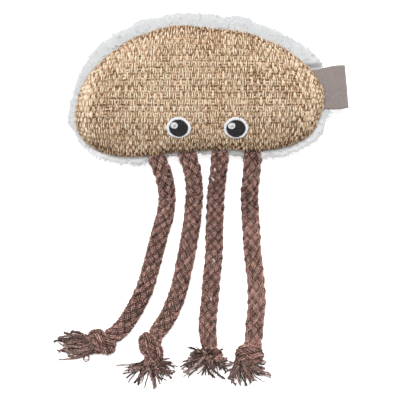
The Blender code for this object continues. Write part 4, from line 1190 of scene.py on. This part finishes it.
def satin_field(store, cx, cy, rx, ry, lift, slope, pitch, radius, seed, crown_up=0.3):
    """Parallel threads across an ellipse, at a slope."""
    rng = np.random.default_rng(seed)
    c, s = math.cos(slope), math.sin(slope)
    reach = math.hypot(rx * s, ry * c)
    rows = int(2 * reach / pitch)
    for n in range(rows):
        d = -reach + (n + 0.5) * 2 * reach / rows
        a = (c / rx) ** 2 + (s / ry) ** 2
        bq = 2 * d * c * s * (1 / ry ** 2 - 1 / rx ** 2)
        cq = (d * s / rx) ** 2 + (d * c / ry) ** 2 - 1
        root = bq * bq - 4 * a * cq
        if root <= 0:
            continue
        lo, hi = (-bq - math.sqrt(root)) / (2 * a), (-bq + math.sqrt(root)) / (2 * a)
        u = np.linspace(lo + rng.normal(0, 0.05), hi + rng.normal(0, 0.05), 16)
        v = np.full_like(u, d) + rng.normal(0, 0.02)
        x, y = cx + c * u - s * v, cy + s * u + c * v
        share = (u - u[0]) / max(u[-1] - u[0], 1e-6)
        hump = lift + crown_up * np.sin(np.clip(share, 0, 1) * math.pi) ** 0.35 - 0.12
        at, nr = on_front(x, y, hump)
        store.sweep(at, radius, 5, up=nr, tone=rng.uniform(0, 1))


for k, (side, (ex, ey)) in enumerate(EYES.items()):
    ring, pupil, glint, middle = Mesh(), Mesh(), Mesh(), Mesh()
    satin_ring(ring, ex, ey, (5.90, 4.88), (4.50, 3.60), 1.05, 3 + k)
    satin_field(pupil, ex, ey - 0.1, 4.86, 3.92, 1.20, math.radians(4), 0.36, 0.21, 30 + k)
    satin_field(glint, ex - 2.20, ey + 1.25, 1.72, 1.36, 1.62, math.radians(60), 0.34, 0.2, 60 + k, 0.18)
    satin_field(middle, ex - 1.85, ey + 1.10, 0.80, 0.62, 1.84, math.radians(50), 0.34, 0.17, 80 + k, 0.05)
    made = [
        ring.make(side + "_eye_ring_stitching", SILVER),
        pupil.make(side + "_eye_pupil_stitching", INK),
        glint.make(side + "_eye_glint_stitching", SILVER),
    ]
    for obj, node in zip(made, ("ring", "pupil", "glint")):
        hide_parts(f"{side}_eye_{node}")
    centre = middle.make(side + "_eye_glint_middle", GREY)


# ================================================================ folded ribbon tab
def ribbon_material():
    m = Nodes("taupe_ribbon", linear(150, 140, 136), 0.72, sheen=0.15, specular=0.3)
    u, v = m.uv()
    rib = m.math("MULTIPLY_ADD", m.math("SINE", m.math("MULTIPLY", u, TAU / 0.42)), 0.5, 0.5)
    tick = m.math("MULTIPLY_ADD", m.math("SINE", m.math("MULTIPLY", v, TAU / 0.36)), 0.5, 0.5)
    weave = m.math("MULTIPLY", rib, tick)
    value = m.math("ADD", m.math("MULTIPLY", weave, 0.4), m.math("MULTIPLY", m.noise(1.5, 3.0), 0.6))
    m.colour(m.ramp(value, [(0.2, linear(128, 117, 113)), (0.55, linear(156, 146, 142)), (0.85, linear(176, 167, 163))]))
    m.bump(weave, 0.12, 0.9)
    return m.material


TAPE = ribbon_material()
TAB_X, TAB_Y, TILT = 61.5, 1.0, math.radians(5.0)
TAB_IN, TAB_OUT, HALF, CLOTH = 5.0, 12.6, 0.85, 0.5


def tab():
    store = Mesh()
    run = [(-TAB_IN, HALF)] + [(x, HALF) for x in np.linspace(-TAB_IN + 0.5, TAB_OUT - HALF, 26)]
    run += [(TAB_OUT - HALF + HALF * math.sin(a), HALF * math.cos(a)) for a in np.radians(np.arange(15, 180, 15))]
    run += [(x, -HALF) for x in np.linspace(TAB_OUT - HALF, -TAB_IN, 27)]
    run = np.array(run)
    d = unit(np.gradient(run, axis=0))
    nrm = np.column_stack([-d[:, 1], d[:, 0]])
    length = arc(run)
    across = np.linspace(-1, 1, 25)
    both = []
    for way in (1, -1):
        x = run[:, 0] + nrm[:, 0] * CLOTH / 2 * way
        z = run[:, 1] + nrm[:, 1] * CLOTH / 2 * way
        X = np.repeat(x[:, None], len(across), 1)
        Z = np.repeat(z[:, None], len(across), 1)
        wide = np.interp(X, [-5, 0, 5, 9, 12.6], [19.2, 19.8, 21.4, 21.7, 21.0]) / 2
        Y = across[None] * wide + 0.35 * (np.repeat(run[:, 1:2], len(across), 1) < 0) * (X / 12.6)
        # a soft curl along its length and a lift at the free corners
        Z = Z + 0.55 * np.sin((X + 3) / 14.0 * math.pi) * (1 - across[None] ** 2) + 0.25 * noise(np.stack([X / 6.0, Y / 5.0, np.full_like(X, 2.0)], -1))
        both.append(np.stack([X, Y, Z], -1))
    uv = np.stack([np.repeat(across[None] * 10.7, len(run), 0), np.repeat(length[:, None], len(across), 1)], -1)
    c, s = math.cos(TILT), math.sin(TILT)

    def placed(g):
        return np.stack([TAB_X + c * g[..., 0] - s * g[..., 1], TAB_Y + s * g[..., 0] + c * g[..., 1], SEAM_Z + g[..., 2]], -1)

    outside, inside = placed(both[0]), placed(both[1])
    rows, cols = outside.shape[:2]
    co = np.vstack([outside.reshape(-1, 3), inside.reshape(-1, 3)])
    i = np.arange(rows - 1)[:, None] * cols
    j = np.arange(cols - 1)[None]
    a = np.stack([i + j, i + cols + j, i + cols + j + 1, i + j + 1], -1).reshape(-1, 4)
    n = rows * cols
    bquads = a[:, ::-1] + n
    rim = []
    first, last = np.arange(rows - 1) * cols, np.arange(rows - 1) * cols + cols - 1
    rim.append(np.stack([first, first + n, first + cols + n, first + cols], 1))
    rim.append(np.stack([last + cols, last + cols + n, last + n, last], 1))
    top, bottom = np.arange(cols - 1), (rows - 1) * cols + np.arange(cols - 1)
    rim.append(np.stack([top + 1, top + 1 + n, top + n, top], 1))
    rim.append(np.stack([bottom, bottom + n, bottom + 1 + n, bottom + 1], 1))
    quads = np.vstack([a, bquads] + rim)
    flat_uv = np.vstack([uv.reshape(-1, 2)] * 2)
    store.add(co, quads, flat_uv[quads], 0.5)
    return store


tab_obj = tab().make("folded_side_tab", TAPE)
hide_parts("side_tab")


# ================================================================ what stays as it is in CAD
def fibre_material():
    m = Nodes("polyester_fibre", (0.85, 0.85, 0.83), 1.0, sheen=0.2)
    value = m.noise(1.4, 4.0, roughness=0.7)
    m.colour(m.ramp(value, [(0.3, (0.74, 0.74, 0.72)), (0.7, (0.88, 0.88, 0.87))]))
    m.bump(value, 0.8, 0.7)
    return m.material


def sewing_material():
    m = Nodes("sewing_thread", (0.6, 0.5, 0.38), 0.6)
    value = m.noise(3.0, 2.0)
    m.colour(m.ramp(value, [(0.3, (0.48, 0.39, 0.29)), (0.7, (0.66, 0.56, 0.43))]))
    m.bump(value, 0.1, 0.6)
    return m.material


for node, made in (("fibre_filling", fibre_material()), ("seam_thread", sewing_material())):
    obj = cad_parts[node]
    obj.data.materials.clear()
    obj.data.materials.append(made)

# ================================================================ floor and light
floor_mesh = bpy.data.meshes.new("floor")
floor_mesh.from_pydata([(-3, -3, 0), (3, -3, 0), (3, 3, 0), (-3, 3, 0)], [], [(0, 1, 2, 3)])
floor = bpy.data.objects.new("floor", floor_mesh)
floor.location = (0.0, 0.0, -0.0001)
scene.collection.objects.link(floor)
paper = Nodes("white_paper", (0.93, 0.93, 0.93), 0.9, specular=0.0)
paper.colour(paper.ramp(paper.noise(0.004, 2.0), [(0.3, (0.92, 0.92, 0.92)), (0.7, (0.94, 0.94, 0.94))]))
paper.shader.inputs["Emission Color"].default_value = (1.0, 1.0, 1.0, 1.0)
paper.shader.inputs["Emission Strength"].default_value = 0.55
floor_mesh.materials.append(paper.material)

world = bpy.data.worlds.new("studio")
world.use_nodes = True
sky = world.node_tree.nodes["Background"]
sky.inputs[0].default_value = (1.0, 1.0, 1.0, 1.0)
# a softbox over the far side: the sky there is brighter than on the near side
where = world.node_tree.nodes.new("ShaderNodeTexCoord")
split = world.node_tree.nodes.new("ShaderNodeSeparateXYZ")
reach = world.node_tree.nodes.new("ShaderNodeMapRange")
world.node_tree.links.new(where.outputs["Generated"], split.inputs[0])
world.node_tree.links.new(split.outputs[1], reach.inputs[0])
for key, value in zip(("From Min", "From Max", "To Min", "To Max"), (-0.9, 0.9, 0.15, 0.50)):
    reach.inputs[key].default_value = value
world.node_tree.links.new(reach.outputs[0], sky.inputs[1])
scene.world = world


def sun(name, strength, tilt, turn, soft):
    data = bpy.data.lights.new(name, "SUN")
    data.energy = strength
    data.angle = math.radians(soft)
    obj = bpy.data.objects.new(name, data)
    # tilt from straight down, towards the direction turn (0 is +Y, 90 is +X)
    obj.rotation_euler = (math.radians(-tilt), 0.0, 0.0)
    direction = Vector((math.sin(math.radians(turn)) * math.sin(math.radians(tilt)), math.cos(math.radians(turn)) * math.sin(math.radians(tilt)), math.cos(math.radians(tilt))))
    obj.rotation_euler = direction.to_track_quat("Z", "Y").to_euler()
    obj.location = direction * 2.0
    scene.collection.objects.link(obj)
    return obj


sun("key", 2.95, 14.0, -8.0, 22.0)
